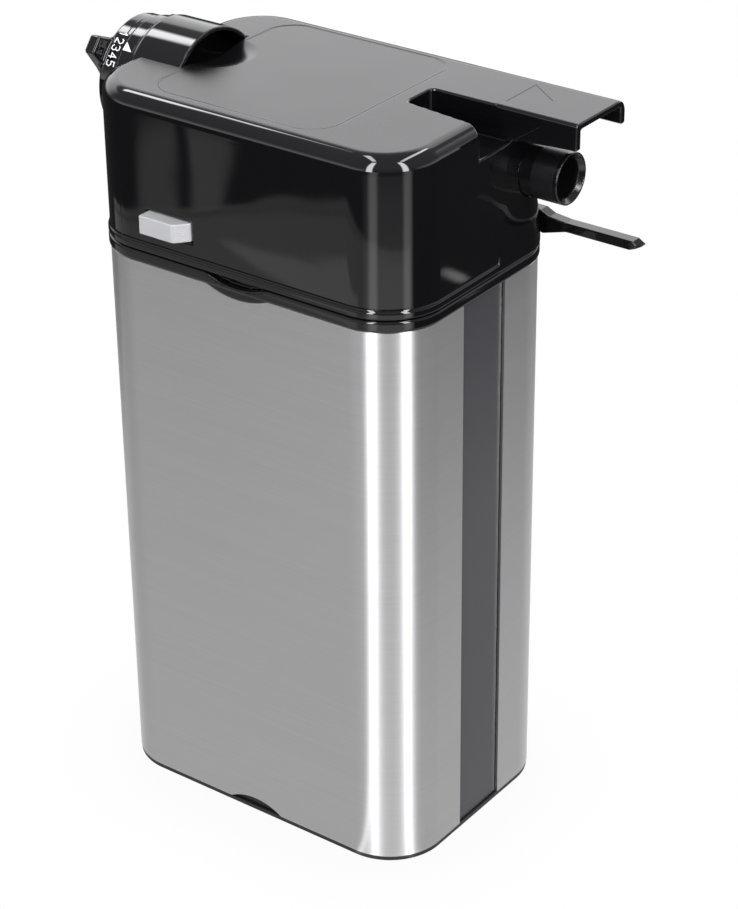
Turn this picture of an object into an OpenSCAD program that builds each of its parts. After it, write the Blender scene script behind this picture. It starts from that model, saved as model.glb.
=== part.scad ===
// Milk carafe with a frothing head for a bean-to-cup coffee machine.
// A brushed steel sleeve wraps a double-walled plastic jug. The black head plugs
// into the jug's mouth, and carries the froth dial, the steam coupling, the
// docking rail and prong, the milk tube, the pull-down milk spout and the two
// sprung release buttons.
// Frame: millimetres, +Z up, +X towards the coffee machine, -X towards the user,
// origin at the centre of the underside.

/* [Jug] */
// Length of the steel sleeve along X
body_l = 100; // [99:0.5:101]
// Width of the steel sleeve along Y
body_w = 70; // [69.5:0.5:70.5]
// Corner radius of the steel sleeve
body_r = 16; // [15.5:0.5:16.5]
// Height of the top edge of the steel sleeve
sleeve_top = 157; // [156:0.5:158]
// Thickness of the steel sheet
steel_t = 0.8; // [0.6:0.1:0.9]
// Width of the gap in the sleeve that the spine strip fills
spine_w = 18; // [16:1:20]
// Half width of the finger notch at the foot of the sleeve
foot_notch_half = 10.3; // [8:0.1:12]
// Height of the finger notch at the foot of the sleeve
foot_notch_h = 3.7; // [3:0.1:5]
// Wall of the outer plastic jug
jug_wall = 2.0; // [1.6:0.1:2.2]
// Wall of the inner liner
liner_wall = 1.6; // [1.4:0.1:1.8]

/* [Head] */
// Height of the flat top of the head
head_top = 202; // [201.5:0.5:202.5]
// Radius of the rolled edge round the top of the head
head_fillet = 3.8; // [3.4:0.2:4.2]
// Wall of the head shell
head_wall = 2.2; // [2:0.1:2.4]
// How far the docking rail reaches along X
rail_end = 68.6; // [67:0.2:70]
// Reach of the docking prong along X
prong_end = 75.7; // [74:0.1:78]

/* [Froth dial] */
// Height of the dial's axis
dial_z = 190.5; // [190:0.5:191]
// Radius of the dial's rim
dial_r = 16; // [15.8:0.1:16.2]
// Radius over the tips of the dial's three grip lobes
lobe_r = 20.4; // [20:0.2:21]
// Outer radius of the regulator housing, whose top half is the hood
hood_r = 17.6; // [17.4:0.1:17.8]
// Radius of the regulator plug
plug_r = 11.9; // [11.85:0.01:11.95]

/* [Steam coupling] */
// Outer radius of the steam nozzle
nozzle_r = 6.8; // [6.6:0.1:7]
// Radius of the socket inside the steam nozzle
socket_r = 5.2; // [5:0.1:5.4]
// End of the nozzle along X
nozzle_end = 60; // [59:0.5:61]

/* [Controls] */
// Travel of a release button
button_travel = 2.5; // [2:0.1:2.8]
// Outer radius of the pull-down spout tube
spout_r = 4.6; // [4.5:0.05:4.65]

/* [Hidden] */
$fn = 96;

base_z = 1.2;             // underside of the steel sleeve
shell_l = body_l - 2*steel_t - 0.4;
shell_w = body_w - 2*steel_t - 0.4;
shell_r = body_r - steel_t - 0.2;
shell_top = 150;
liner_l = 92.2;           // outside of the liner
liner_w = 62.2;
liner_r = 12.1;
liner_in_l = liner_l - 2*liner_wall;
liner_in_w = liner_w - 2*liner_wall;
liner_in_r = liner_r - liner_wall;
liner_floor = 8;
collar_top = 160.2;
bead = 0.45;              // how far the two beads stand out beyond the sleeve
head_z = 160.4;           // underside of the head
bead_top = 162.7;
dip_x = -0.3;             // dips in the rim, on the long sides
dip_h = 2;
dip_r = 24;
slot_x = 26.2;            // inner end of the slot beside the docking rail
slot_y1 = 10.9;           // near side of the docking rail
rail_t = 1.7;
rail_far = 32.6;
pocket_z = 193.2;         // floor of the slot
tier_z = 168.3;           // the coupling end is set back above this height
tier_back = 1.2;
nozzle_y = 22.7;
nozzle_z = 182;
mouth_x = -33.8;          // open end of the hood
panel_x1 = 21.8;          // outline of the shallow recess in the top
panel_y = 28.6;
btn_x0 = -28.2;
btn_x1 = -17.6;
btn_x2 = -14.2;
btn_z0 = 167;
btn_z1 = 172;
btn_y = 38.5;
btn_root_y = 29;
spout_x = 12;
spout_y = 50;
spout_z = 176;
tube_x = -37.5;
boss_x = 38;              // screws that hold the head together
boss_y = 22;
plug_end = -43.7;
duct_y = 6.5;
duct_z = 186.5;

// ---------- helpers ----------
module rrect(l, w, r) {
    square([l - 2*r, w], center = true);
    square([l, w - 2*r], center = true);
    for (x = [-1, 1], y = [-1, 1]) translate([x*(l/2 - r), y*(w/2 - r)]) circle(r = r);
}
module slab(l, w, r, z0, z1) translate([0, 0, z0]) linear_extrude(height = z1 - z0) rrect(l, w, r);
module box(x0, x1, y0, y1, z0, z1) translate([x0, y0, z0]) cube([x1 - x0, y1 - y0, z1 - z0]);
module xcyl(r, x0, x1, y = 0, z = 0) translate([x0, y, z]) rotate([0, 90, 0]) cylinder(r = r, h = x1 - x0);
module ycyl(r, y0, y1, x = 0, z = 0) translate([x, y0, z]) rotate([-90, 0, 0]) cylinder(r = r, h = y1 - y0);
module zcyl(r, z0, z1, x = 0, y = 0) translate([x, y, z0]) cylinder(r = r, h = z1 - z0);
module xcone(ra, rb, x0, x1, y = 0, z = 0) translate([x0, y, z]) rotate([0, 90, 0]) cylinder(r1 = ra, r2 = rb, h = x1 - x0);
// Self-tapping screw with its head downwards, pointing up
module screw(x, y, z, len) {
    translate([x, y, z]) difference() {
        union() {
            cylinder(r = 2.6, h = 1.8);
            translate([0, 0, 1.8]) cylinder(r = 1.35, h = len);
        }
        for (a = [0, 90]) rotate(a) translate([-1.6, -0.35, -0.1]) cube([3.2, 0.7, 1.1]);
    }
}
// Block on a rounded outline, with its top edge rolled over to radius f
module rolled(l, w, r, z0, z1, f, n = 5) {
    slab(l, w, r, z0, z1 - f);
    hull() for (i = [0:n]) let (c = f*(1 - cos(90*i/n)))
        slab(l - 2*c, w - 2*c, r - c, z1 - f - 0.2, z1 - f + f*sin(90*i/n), $fn = 64);
}
// The same with a plain step in place of the rolled edge
module stepped(l, w, r, z0, z1, f) {
    slab(l, w, r, z0, z1 - f);
    slab(l - 2*f, w - 2*f, r - f, z0, z1);
}
// Coil spring along +Y, drawn as one closed skin
module coil(r, wire, turns, len, steps = 16, sides = 8) {
    n = turns*steps;
    pts = [for (i = [0:n], k = [0:sides - 1])
        let (a = 360*i/steps, b = 360*k/sides, q = r + wire*cos(b))
        [q*cos(a), wire + (len - 2*wire)*i/n + wire*sin(b), q*sin(a)]];
    faces = concat(
        [[for (k = [sides - 1:-1:0]) k]],
        [for (i = [0:n - 1], k = [0:sides - 1]) [i*sides + k, i*sides + (k + 1)%sides, (i + 1)*sides + (k + 1)%sides, (i + 1)*sides + k]],
        [[for (k = [0:sides - 1]) n*sides + k]]);
    polyhedron(points = pts, faces = faces, convexity = 8);
}

// ---------- jug ----------
module steel_sleeve() color([0.66, 0.66, 0.67]) {
    nr = (foot_notch_half*foot_notch_half + foot_notch_h*foot_notch_h)/(2*foot_notch_h);
    difference() {
        slab(body_l, body_w, body_r, base_z, sleeve_top);
        slab(body_l - 2*steel_t, body_w - 2*steel_t, body_r - steel_t, base_z - 1, sleeve_top + 1);
        box(30, 60, -spine_w/2, spine_w/2, 0, 170);
        ycyl(nr, -60, 60, 0, foot_notch_h - nr);
        ycyl(dip_r, -60, 60, dip_x, sleeve_top - dip_h + dip_r);
    }
}
module jug_shell() color([0.16, 0.16, 0.17]) difference() {
    slab(shell_l, shell_w, shell_r, base_z + 0.1, shell_top);
    slab(shell_l - 2*jug_wall, shell_w - 2*jug_wall, shell_r - jug_wall, 6, shell_top + 1);
    slab(shell_l - 2*jug_wall, shell_w - 2*jug_wall, shell_r - jug_wall, -1, 4);
    box(shell_l/2 - 1.2, 60, -spine_w/2 + 0.1, spine_w/2 - 0.1, 0, 170);
    for (x = [-1, 1], y = [-1, 1]) zcyl(1.4, 3, 7, x*34, y*19);
}
module spine_strip() color([0.30, 0.30, 0.32])
    box(shell_l/2 - 1.1, body_l/2 - 0.7, -spine_w/2 + 0.15, spine_w/2 - 0.15, base_z + 0.1, sleeve_top - 0.1);
module jug_liner() color([0.86, 0.87, 0.88]) difference() {
    union() {
        slab(liner_l, liner_w, liner_r, liner_floor - liner_wall, shell_top + 0.1);
        slab(shell_l - 0.6, shell_w - 0.6, shell_r - 0.3, shell_top + 0.1, shell_top + 1.7);
    }
    slab(liner_in_l, liner_in_w, liner_in_r, liner_floor, shell_top + 3);
    box(shell_l/2 - 1.3, 60, -spine_w/2, spine_w/2, 100, 170);
}
module jug_collar() color([0.05, 0.05, 0.055]) difference() {
    union() {
        slab(shell_l, shell_w, shell_r, shell_top + 1.8, sleeve_top);
        // rounded bead that shows above the sleeve
        slab(body_l + 2*bead, body_w + 2*bead, body_r + bead, sleeve_top + 0.7, collar_top - 0.7);
        slab(body_l + 2*bead - 0.7, body_w + 2*bead - 0.7, body_r + bead - 0.35, sleeve_top + 0.1, collar_top);
        // lips that fill the dips in the sleeve
        intersection() {
            ycyl(dip_r - 0.1, -60, 60, dip_x, sleeve_top - dip_h + dip_r);
            slab(body_l + 2*bead - 0.7, body_w + 2*bead - 0.7, body_r + bead - 0.35, sleeve_top - dip_h - 0.1, sleeve_top + 0.5);
            box(-14, 14, -60, 60, 100, 200);
        }
    }
    slab(93.4, 63.4, 12.7, shell_top - 1, collar_top + 1);
    // spine strip's upper end
    box(shell_l/2 - 1.2, 49.4, -spine_w/2 + 0.05, spine_w/2 - 0.05, 100, sleeve_top);
    // undercuts that the latch noses sit in
    for (s = [-1, 1]) scale([1, s, 1]) box(-28, -14, -33.2, -30, 151.9, 155.6);
    // scoops above the lips, which let a thumbnail under the head
    for (s = [-1, 1]) ycyl(dip_r, s == 1 ? 33.4 : -60, s == 1 ? 60 : -33.4, dip_x, collar_top - dip_h + dip_r);
}
module base_cover() color([0.12, 0.12, 0.125]) difference() {
    union() {
        slab(body_l - 0.3, body_w - 0.3, body_r - 0.15, 0, base_z);
        slab(shell_l - 2*jug_wall - 0.3, shell_w - 2*jug_wall - 0.3, shell_r - jug_wall - 0.15, 0, 3.9);
    }
    // standing rim and a cross rib round four shallow recesses
    difference() {
        slab(body_l - 16, body_w - 16, body_r - 7, -1, 1.4);
        box(-60, 60, -1.5, 1.5, -2, 2);
        box(-1.5, 1.5, -60, 60, -2, 2);
    }
    for (x = [-1, 1], y = [-1, 1]) { zcyl(1.6, 0, 5, x*34, y*19); zcyl(3, 0, 2.4, x*34, y*19); }
}
module base_screws() color([0.6, 0.6, 0.62])
    for (x = [-1, 1], y = [-1, 1]) screw(x*34, y*19, 0.6, 3.4);

// ---------- head ----------
module head_outer() {
    rolled(body_l, body_w, body_r, head_z, head_top, head_fillet);
    slab(body_l + 2*bead, body_w + 2*bead, body_r + bead, head_z + 0.5, bead_top - 0.7);
    slab(body_l + 2*bead - 0.6, body_w + 2*bead - 0.6, body_r + bead - 0.3, head_z, bead_top);
    // foot of the coupling end, a little proud
    intersection() {
        slab(body_l + 0.9, body_w + 0.5, body_r + 0.3, head_z, tier_z);
        box(0, 60, 6.6, 60, 100, 220);
    }
}
module slot_outline() polygon([[slot_x, 1.9], [slot_x + 0.5, 0.7], [slot_x + 1.6, 0.1], [60, -3.9], [60, slot_y1],
    [slot_x + 1.3, slot_y1], [slot_x + 0.4, slot_y1 - 0.4], [slot_x, slot_y1 - 1.3]]);
module docking_rail() difference() {
    union() {
        box(slot_x, rail_end, slot_y1 + 0.8, rail_far - 3, head_top - rail_t, head_top);
        // rounded shoulders
        xcyl(0.8, slot_x, rail_end, slot_y1 + 0.8, head_top - 0.8);
        difference() {
            xcyl(3, slot_x, rail_end, rail_far - 3, head_top - 3);
            box(slot_x - 1, rail_end + 1, rail_far - 10, rail_far - rail_t, 180, head_top - rail_t);
        }
        // near flange, its lower edge rising a little towards the tip
        translate([0, slot_y1 + rail_t, 0]) rotate([90, 0, 0]) linear_extrude(height = rail_t)
            polygon([[slot_x, pocket_z - 0.4], [49.2, pocket_z - 0.4], [49.2, pocket_z + 0.6], [rail_end, pocket_z + 2], [rail_end, head_top - 0.8], [slot_x, head_top - 0.8]]);
        box(slot_x, rail_end, rail_far - rail_t, rail_far, pocket_z + 2.4, head_top - 3);
    }
    // engraved arrow
    translate([0, 0, head_top - 0.25]) linear_extrude(height = 1) difference() {
        polygon([[45.8, 14], [45.8, 27.6], [55.4, 20.8]]);
        polygon([[46.15, 8], [46.15, 26.92], [57.6, 18.81], [57.6, 8]]);
    }
}
module head_shell() color([0.05, 0.05, 0.055]) union() {
    difference() {
        head_outer();
        // hollow
        difference() {
            stepped(body_l - 2*head_wall, body_w - 2*head_wall, body_r - head_wall, head_z - 1, head_top - head_wall - 0.4, 1.8);
            // screw bosses and their ribs
            for (x = [-1, 1], y = [-1, 1]) {
                zcyl(3.4, 163, 173.5, x*boss_x, y*boss_y);
                box(x > 0 ? boss_x : -60, x > 0 ? 60 : -boss_x, y*boss_y - 1, y*boss_y + 1, 163, 173.5);
            }
            // walls round the slot and under the rail
            box(slot_x - head_wall, 60, -6.2, 60, pocket_z - head_wall, 210);
            // backing of the coupling end where its face is set back
            box(45, 60, -1, 60, 163.2, 210);
            // backing of the dish in front of the hood
            box(-60, -14, -20, 20, 195, 210);
        }
        // coupling end, set back
        difference() {
            box(30, 60, 1, 60, tier_z, 210);
            slab(body_l - 2*tier_back, body_w, body_r, 150, 210);
        }
        // slot
        translate([0, 0, pocket_z]) linear_extrude(height = 20) slot_outline();
        // space under the rail
        box(slot_x + 1, 60, slot_y1 + 0.01, rail_far - rail_t, pocket_z, head_top - rail_t);
        box(40, 60, rail_far - rail_t - 0.01, 60, pocket_z, 210);
        // shallow recess in the top, with a dish in front of the hood
        translate([0, 0, head_top - 0.4]) linear_extrude(height = 10) intersection() {
            translate([(mouth_x - 6 + panel_x1)/2, 0]) rrect(panel_x1 - mouth_x + 6, 2*panel_y, 7);
            translate([mouth_x + 0.1, -40]) square([100, 80]);
        }
        intersection() {
            translate([mouth_x, 0, head_top + 37.3]) sphere(r = 39.5);
            box(mouth_x - 0.01, 60, -60, 60, 150, 250);
        }
        // seat of the regulator housing
        xcyl(hood_r + 0.05, -60, mouth_x + 0.1, 0, dial_z);
        // hole for the steam nozzle
        xcyl(nozzle_r + 0.05, 40, 60, nozzle_y, nozzle_z);
        // hole for the spout arm
        ycyl(6.05, 30, 40, spout_x, spout_z);
        // hole for the prong's root
        box(40, 50, 30.15, 32.65, 163.75, 165.75);
        // windows for the two buttons
        for (s = [-1, 1]) scale([1, s, 1]) box(btn_x0 - 0.25, btn_x2 + 0.35, -40, -30, btn_z0 - 0.25, btn_z1 + 0.25);
        // pilot holes in the bosses
        for (x = [-1, 1], y = [-1, 1]) zcyl(1.4, 162, 172.8, x*boss_x, y*boss_y);
    }
    docking_rail();
}
module head_floor() color([0.09, 0.09, 0.095]) difference() {
    union() {
        slab(body_l - 2*head_wall - 0.3, body_w - 2*head_wall - 0.3, body_r - head_wall - 0.15, head_z + 0.1, head_z + 2.5);
        // skirt that plugs into the liner
        difference() {
            slab(liner_in_l - 0.6, liner_in_w - 0.6, liner_in_r - 0.3, 145.5, head_z + 0.1);
            slab(liner_in_l - 4.2, liner_in_w - 4.2, liner_in_r - 2.1, 145, head_z + 0.1);
            // groove for the gasket
            difference() {
                slab(100, 80, 10, 147, 149.6);
                slab(liner_in_l - 2, liner_in_w - 2, liner_in_r - 1, 146, 150);
            }
        }
        // posts that back the two springs
        for (s = [-1, 1]) scale([1, s, 1]) box(-26, -17, -16.6, -14.2, head_z + 2.4, 173);
        // sleeve that grips the milk tube
        zcyl(6.2, 154, 170, tube_x, 0);
    }
    zcyl(4.8, 150, 175, tube_x, 0);
    // ways for the two latches
    for (s = [-1, 1]) scale([1, s, 1]) {
        box(-27.5, -15.5, -40, -24.4, 151, 163.5);
    }
    for (x = [-1, 1], y = [-1, 1]) zcyl(1.6, 150, 170, x*boss_x, y*boss_y);
}
module head_gasket() color([0.72, 0.72, 0.72]) difference() {
    slab(liner_in_l - 0.1, liner_in_w - 0.1, liner_in_r - 0.05, 147.05, 149.55);
    slab(liner_in_l - 2, liner_in_w - 2, liner_in_r - 1, 146, 151);
}
module floor_screws() color([0.6, 0.6, 0.62])
    for (x = [-1, 1], y = [-1, 1]) screw(x*boss_x, y*boss_y, head_z - 1.7, 12);

// ---------- froth regulator ----------
module regulator_housing() color([0.05, 0.05, 0.055]) difference() {
    union() {
        xcyl(hood_r - 0.6, -50.6, mouth_x, 0, dial_z);
        xcyl(hood_r, -50, mouth_x, 0, dial_z);
        // index collar behind the dial
        xcyl(hood_r - 1.1, -54.3, -50.5, 0, dial_z);
        // spigot for the milk tube
        zcyl(4.6, 166, dial_z - 14, tube_x, 0);
        // spigot for the milk duct
        xcyl(3.4, mouth_x - 1, -27, duct_y, duct_z);
    }
    // bearing bore for the plug
    xcyl(12, -60, plug_end + 0.2, 0, dial_z);
    // hollow mouth under the hood
    difference() {
        xcyl(hood_r - 1.3, plug_end + 1.4, -30, 0, dial_z);
        box(-60, -20, -30, 30, 150, head_top - 2.3);
    }
    // inlet and outlet galleries
    zcyl(2.4, 160, dial_z - 5.5, tube_x, 0);
    xcyl(1.9, plug_end - 1, tube_x, 0, dial_z - 6.5);
    xcyl(1.9, plug_end - 1, -20, duct_y, duct_z);
}
module froth_dial() color([0.05, 0.05, 0.055]) translate([0, 0, dial_z]) difference() {
    union() {
        xcyl(dial_r, -59, -54.45);
        xcone(dial_r - 0.7, dial_r, -60, -59);
        // grip lobes, flared into a domed hub
        hull() { xcyl(12.4, -61.4, -59.8, $fn = 32); xcyl(10.2, -63.6, -62.2, $fn = 32); }
        for (a = [51.5, -64.5, 173.5]) rotate([a, 0, 0]) hull() {
            xcyl(1, -62.4, -59.5, 1.6, lobe_r - 1, $fn = 32);
            xcyl(1, -62.4, -59.5, -1.6, lobe_r - 1, $fn = 32);
            xcyl(2, -63.4, -59.5, 4.6, 8.5, $fn = 32);
            xcyl(2, -63.4, -59.5, -4.6, 8.5, $fn = 32);
        }
    }
    // hollow in the middle of the hub
    translate([-71.4, 0, 0]) sphere(r = 9);
    // socket for the plug's square
    box(-59, -50, -4.1, 4.1, -4.1, 4.1);
}
module regulator_plug() color([0.80, 0.80, 0.81]) translate([0, 0, dial_z]) difference() {
    union() {
        xcyl(plug_r, -54.3, plug_end);
        box(-58.5, -54.2, -4, 4, -4, 4);
    }
    // metering groove in the end face
    difference() {
        xcyl(9.6, plug_end - 1.6, plug_end + 1);
        xcyl(4.6, plug_end - 3, plug_end + 2);
        box(-60, -30, -15, 0, 0, 15);
    }
    // the two seal grooves
    for (x = [-52, -47.6]) difference() { xcyl(13, x - 1.05, x + 1.05); xcyl(plug_r - 1.9, x - 2, x + 2); }
}
module plug_seals() color([0.75, 0.30, 0.18]) translate([0, 0, dial_z])
    for (x = [-52, -47.6]) translate([x, 0, 0]) rotate([0, 90, 0]) rotate_extrude() translate([plug_r - 0.93, 0]) circle(r = 0.95, $fn = 32);

// ---------- milk path ----------
module milk_tube() color([0.88, 0.89, 0.90]) difference() {
    zcyl(4.0, 11, 165.5, tube_x, 0);
    zcyl(2.6, 0, 170, tube_x, 0);
    // slanted foot so that the tube can't seal against the floor
    translate([tube_x, 0, 11]) rotate([0, 35, 0]) translate([-10, -10, -8]) cube([20, 20, 8]);
}
module tube_grommet() color([0.7, 0.7, 0.7]) difference() {
    union() { zcyl(4.75, 156, 171, tube_x, 0); zcyl(6, 170.1, 171.6, tube_x, 0); }
    zcyl(4.0, 150, 165.6, tube_x, 0);
    zcyl(2.7, 150, 166.1, tube_x, 0);
    zcyl(4.6, 166, 175, tube_x, 0);
}
module milk_duct() color([0.85, 0.85, 0.86]) difference() {
    union() { xcyl(4.6, mouth_x + 0.2, -8, duct_y, duct_z); xcyl(3.2, -8.1, 2, duct_y, duct_z); }
    xcyl(3.4, -40, -26.9, duct_y, duct_z);
    xcyl(1.9, -40, 5, duct_y, duct_z);
}
module frother_body() color([0.14, 0.14, 0.145]) difference() {
    union() {
        box(-4, 21.5, 2.2, 31.6, 175, 190.6);
        zcyl(7, 169, 175.1, spout_x, nozzle_y);
    }
    xcyl(3.2, -5, 2, duct_y, duct_z);
    xcyl(1.9, 1, 6, duct_y, duct_z);
    box(4, 6, duct_y - 1.5, nozzle_y, duct_z - 4, duct_z + 1);
    // mixing chamber, with the steam jet's seat at its end
    xcyl(4, 4, 14, nozzle_y, nozzle_z);
    xcyl(5.4, 14, 30, nozzle_y, nozzle_z);
    ycyl(4.5, 24, 40, spout_x, spout_z);
    zcyl(3.7, 160, 179, spout_x, nozzle_y);
}
module steam_nozzle() color([0.05, 0.05, 0.055]) difference() {
    union() {
        xcyl(nozzle_r, 22.2, nozzle_end, nozzle_y, nozzle_z);
        xcyl(5.3, 14.1, 22.3, nozzle_y, nozzle_z);
    }
    xcyl(socket_r, 38, nozzle_end + 1, nozzle_y, nozzle_z);
    xcone(socket_r, nozzle_r - 0.35, nozzle_end - 1.4, nozzle_end + 0.02, nozzle_y, nozzle_z);
    // seat of the face seal
    xcyl(4.2, 36.5, 39, nozzle_y, nozzle_z);
    // steam jet
    xcyl(2, 18, 39, nozzle_y, nozzle_z);
    xcyl(0.6, 14, 19, nozzle_y, nozzle_z);
}
module nozzle_seal() color([0.75, 0.30, 0.18]) difference() {
    xcyl(4.15, 36.55, 37.95, nozzle_y, nozzle_z);
    xcyl(2.1, 36, 39, nozzle_y, nozzle_z);
}
module spout_arm() color([0.05, 0.05, 0.055]) difference() {
    union() {
        ycyl(6, 33.2, spout_y, spout_x, spout_z);
        ycyl(4.45, 28.3, 33.3, spout_x, spout_z);
        ycyl(7.5, 35.05, 36.6, spout_x, spout_z);
        zcyl(7.4, 158, 180, spout_x, spout_y);
        translate([spout_x, spout_y, 180]) difference() { sphere(r = 7.4); translate([-10, -10, -20]) cube([20, 20, 20]); }
    }
    ycyl(3.4, 20, spout_y, spout_x, spout_z);
    zcyl(spout_r + 0.08, 150, 178, spout_x, spout_y);
}
module spout_ring() color([0.7, 0.7, 0.7]) difference() {
    zcyl(7.3, 156.4, 157.95, spout_x, spout_y);
    zcyl(spout_r + 0.08, 150, 180, spout_x, spout_y);
}
module spout_tube() color([0.08, 0.08, 0.085]) difference() {
    union() {
        zcyl(spout_r, 136, 177, spout_x, spout_y);
        zcyl(6.2, 140, 142, spout_x, spout_y);
        translate([spout_x, spout_y, 136]) mirror([0, 0, 1]) cylinder(r1 = spout_r, r2 = spout_r - 0.8, h = 2);
    }
    zcyl(3.2, 120, 190, spout_x, spout_y);
}
// Side profile drawn in X and Z, with a thinner root inside the head
module docking_prong() color([0.07, 0.07, 0.075]) {
    y0 = 30;
    y1 = 33.5;
    difference() {
        translate([0, y1, 0]) rotate([90, 0, 0]) linear_extrude(height = y1 - y0)
            polygon([[40, 162.95], [47.2, 161.4], [54, 163.4], [prong_end - 3, 163.4], [prong_end, 164.6], [prong_end - 2.2, 165.9],
                     [54, 165.9], [49, 166.4], [46.4, 167.6], [40, 167.6]]);
        // lead-in on the near side of the tip
        translate([prong_end, y0, 150]) rotate([0, 0, 38]) translate([-2, -8, 0]) cube([8, 8, 30]);
        // the outside of the head
        slab(body_l + 0.96, body_w + 0.56, body_r + 0.33, 150, 168.4);
        slab(body_l + 2*bead + 0.06, body_w + 2*bead + 0.06, body_r + bead + 0.03, 150, bead_top + 0.05);
        box(0, 46.4, 0, 60, 167.3, 200);
    }
    difference() {
        box(40.5, 47, 30.2, 32.6, 163.8, 165.7);
    }
}

// ---------- release buttons ----------
// Both are drawn for the near side; the far one is mirrored
module button() difference() {
    translate([0, 0, btn_z0]) linear_extrude(height = btn_z1 - btn_z0)
        polygon([[btn_x0, -btn_root_y], [btn_x0, -btn_y + 0.4], [btn_x0 + 0.4, -btn_y], [btn_x1 - 0.6, -btn_y], [btn_x1 + 0.3, -btn_y + 0.3],
                 [btn_x2, -34.9], [btn_x2, -btn_root_y]]);
    box(-25, -18, -35, -25, btn_z0 + 1, btn_z1 - 1);
}
module latch() difference() {
    union() {
        box(-24.8, -18.2, -34.8, -22.4, btn_z0 + 1.1, btn_z1 - 1.1);
        // shoulders that stop against the inside of the head
        box(-27, -16, -32.7, -26.6, btn_z0 - 2.5, btn_z0 - 0.4);
        box(-27, -16, -32.7, -26.6, btn_z1 + 0.4, btn_z1 + 2.5);
        box(-26.5, -16.5, -28.9, -26.6, btn_z0 - 2.5, btn_z1 + 2.5);
        // arm and nose
        box(-25.5, -17.5, -30.6, -29.2, 152.6, btn_z0 - 2.4);
        translate([-17.5, 0, 0]) rotate([0, -90, 0]) linear_extrude(height = 8)
            polygon([[152.6, -30.5], [153.2, -31.45], [154.9, -31.45], [155.2, -30.5]]);
    }
    // spring pocket
    ycyl(1.95, -27, -20, -21.5, (btn_z0 + btn_z1)/2);
}
module spring() translate([-21.5, -26.9, (btn_z0 + btn_z1)/2]) coil(1.45, 0.28, 6, 10.1);
module near_release_button() color([0.80, 0.80, 0.82]) button();
module far_release_button() color([0.80, 0.80, 0.82]) scale([1, -1, 1]) button();
module near_latch() color([0.12, 0.12, 0.125]) latch();
module far_latch() color([0.12, 0.12, 0.125]) scale([1, -1, 1]) latch();
module near_spring() color([0.75, 0.75, 0.77]) spring();
module far_spring() color([0.75, 0.75, 0.77]) scale([1, -1, 1]) spring();

steel_sleeve();
jug_shell();
spine_strip();
jug_liner();
jug_collar();
base_cover();
base_screws();
head_shell();
head_floor();
head_gasket();
floor_screws();
regulator_housing();
milk_tube();
tube_grommet();
milk_duct();
frother_body();
steam_nozzle();
nozzle_seal();
spout_arm();
spout_ring();
docking_prong();
froth_dial();
regulator_plug();
plug_seals();
near_release_button();
near_latch();
near_spring();
far_release_button();
far_latch();
far_spring();
spout_tube();
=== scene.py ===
"""Looks of the milk carafe with frothing head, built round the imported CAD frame.

The plastic mouldings are made from signed distance functions, so that every edge has a real
moulded radius, and are meshed on a sparse grid. Lengths inside the builders are millimetres.
"""
import math

import bmesh
import bpy
import numpy as np
from mathutils import Matrix, Vector


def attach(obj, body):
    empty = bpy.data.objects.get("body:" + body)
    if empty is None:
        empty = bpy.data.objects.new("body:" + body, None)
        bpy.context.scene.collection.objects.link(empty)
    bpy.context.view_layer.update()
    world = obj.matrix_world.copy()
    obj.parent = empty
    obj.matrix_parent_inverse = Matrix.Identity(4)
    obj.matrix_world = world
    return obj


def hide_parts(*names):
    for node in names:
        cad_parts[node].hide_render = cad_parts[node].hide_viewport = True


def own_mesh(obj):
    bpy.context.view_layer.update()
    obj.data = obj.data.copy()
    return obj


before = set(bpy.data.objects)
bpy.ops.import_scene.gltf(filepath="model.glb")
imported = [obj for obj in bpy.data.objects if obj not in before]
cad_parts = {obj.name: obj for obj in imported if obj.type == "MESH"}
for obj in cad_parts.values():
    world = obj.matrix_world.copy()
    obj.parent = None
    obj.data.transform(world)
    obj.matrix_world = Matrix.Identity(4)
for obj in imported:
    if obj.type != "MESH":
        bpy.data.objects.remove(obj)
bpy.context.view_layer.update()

sin, cos, pi = math.sin, math.cos, math.pi

# ------------------------------------------------------------------ distance functions


def rmax(a, b, r=0.0):
    return np.minimum(-r, np.maximum(a, b)) + np.hypot(np.maximum(a + r, 0), np.maximum(b + r, 0))


def rmin(a, b, r=0.0):
    return np.maximum(r, np.minimum(a, b)) - np.hypot(np.maximum(r - a, 0), np.maximum(r - b, 0))


def smin(a, b, k):
    h = np.clip(0.5 + 0.5 * (b - a) / k, 0, 1)
    return b + (a - b) * h - k * h * (1 - h)


def rr(x, y, l, w, r, cx=0.0, cy=0.0):
    qx = np.abs(x - cx) - (l / 2 - r)
    qy = np.abs(y - cy) - (w / 2 - r)
    return np.hypot(np.maximum(qx, 0), np.maximum(qy, 0)) + np.minimum(np.maximum(qx, qy), 0) - r


def bx(x, y, z, x0, x1, y0, y1, z0, z1, r=0.0):
    a = np.abs(x - (x0 + x1) / 2) - (x1 - x0) / 2 + r
    b = np.abs(y - (y0 + y1) / 2) - (y1 - y0) / 2 + r
    c = np.abs(z - (z0 + z1) / 2) - (z1 - z0) / 2 + r
    out = np.sqrt(np.maximum(a, 0) ** 2 + np.maximum(b, 0) ** 2 + np.maximum(c, 0) ** 2)
    return out + np.minimum(np.maximum(np.maximum(a, b), c), 0) - r


def cyl(a, b, c, R, c0, c1, r=0.0):
    """Cylinder of radius R about the c axis, with its two rims rounded to r."""
    return rmax(np.hypot(a, b) - R, np.abs(c - (c0 + c1) / 2) - (c1 - c0) / 2, r)


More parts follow.
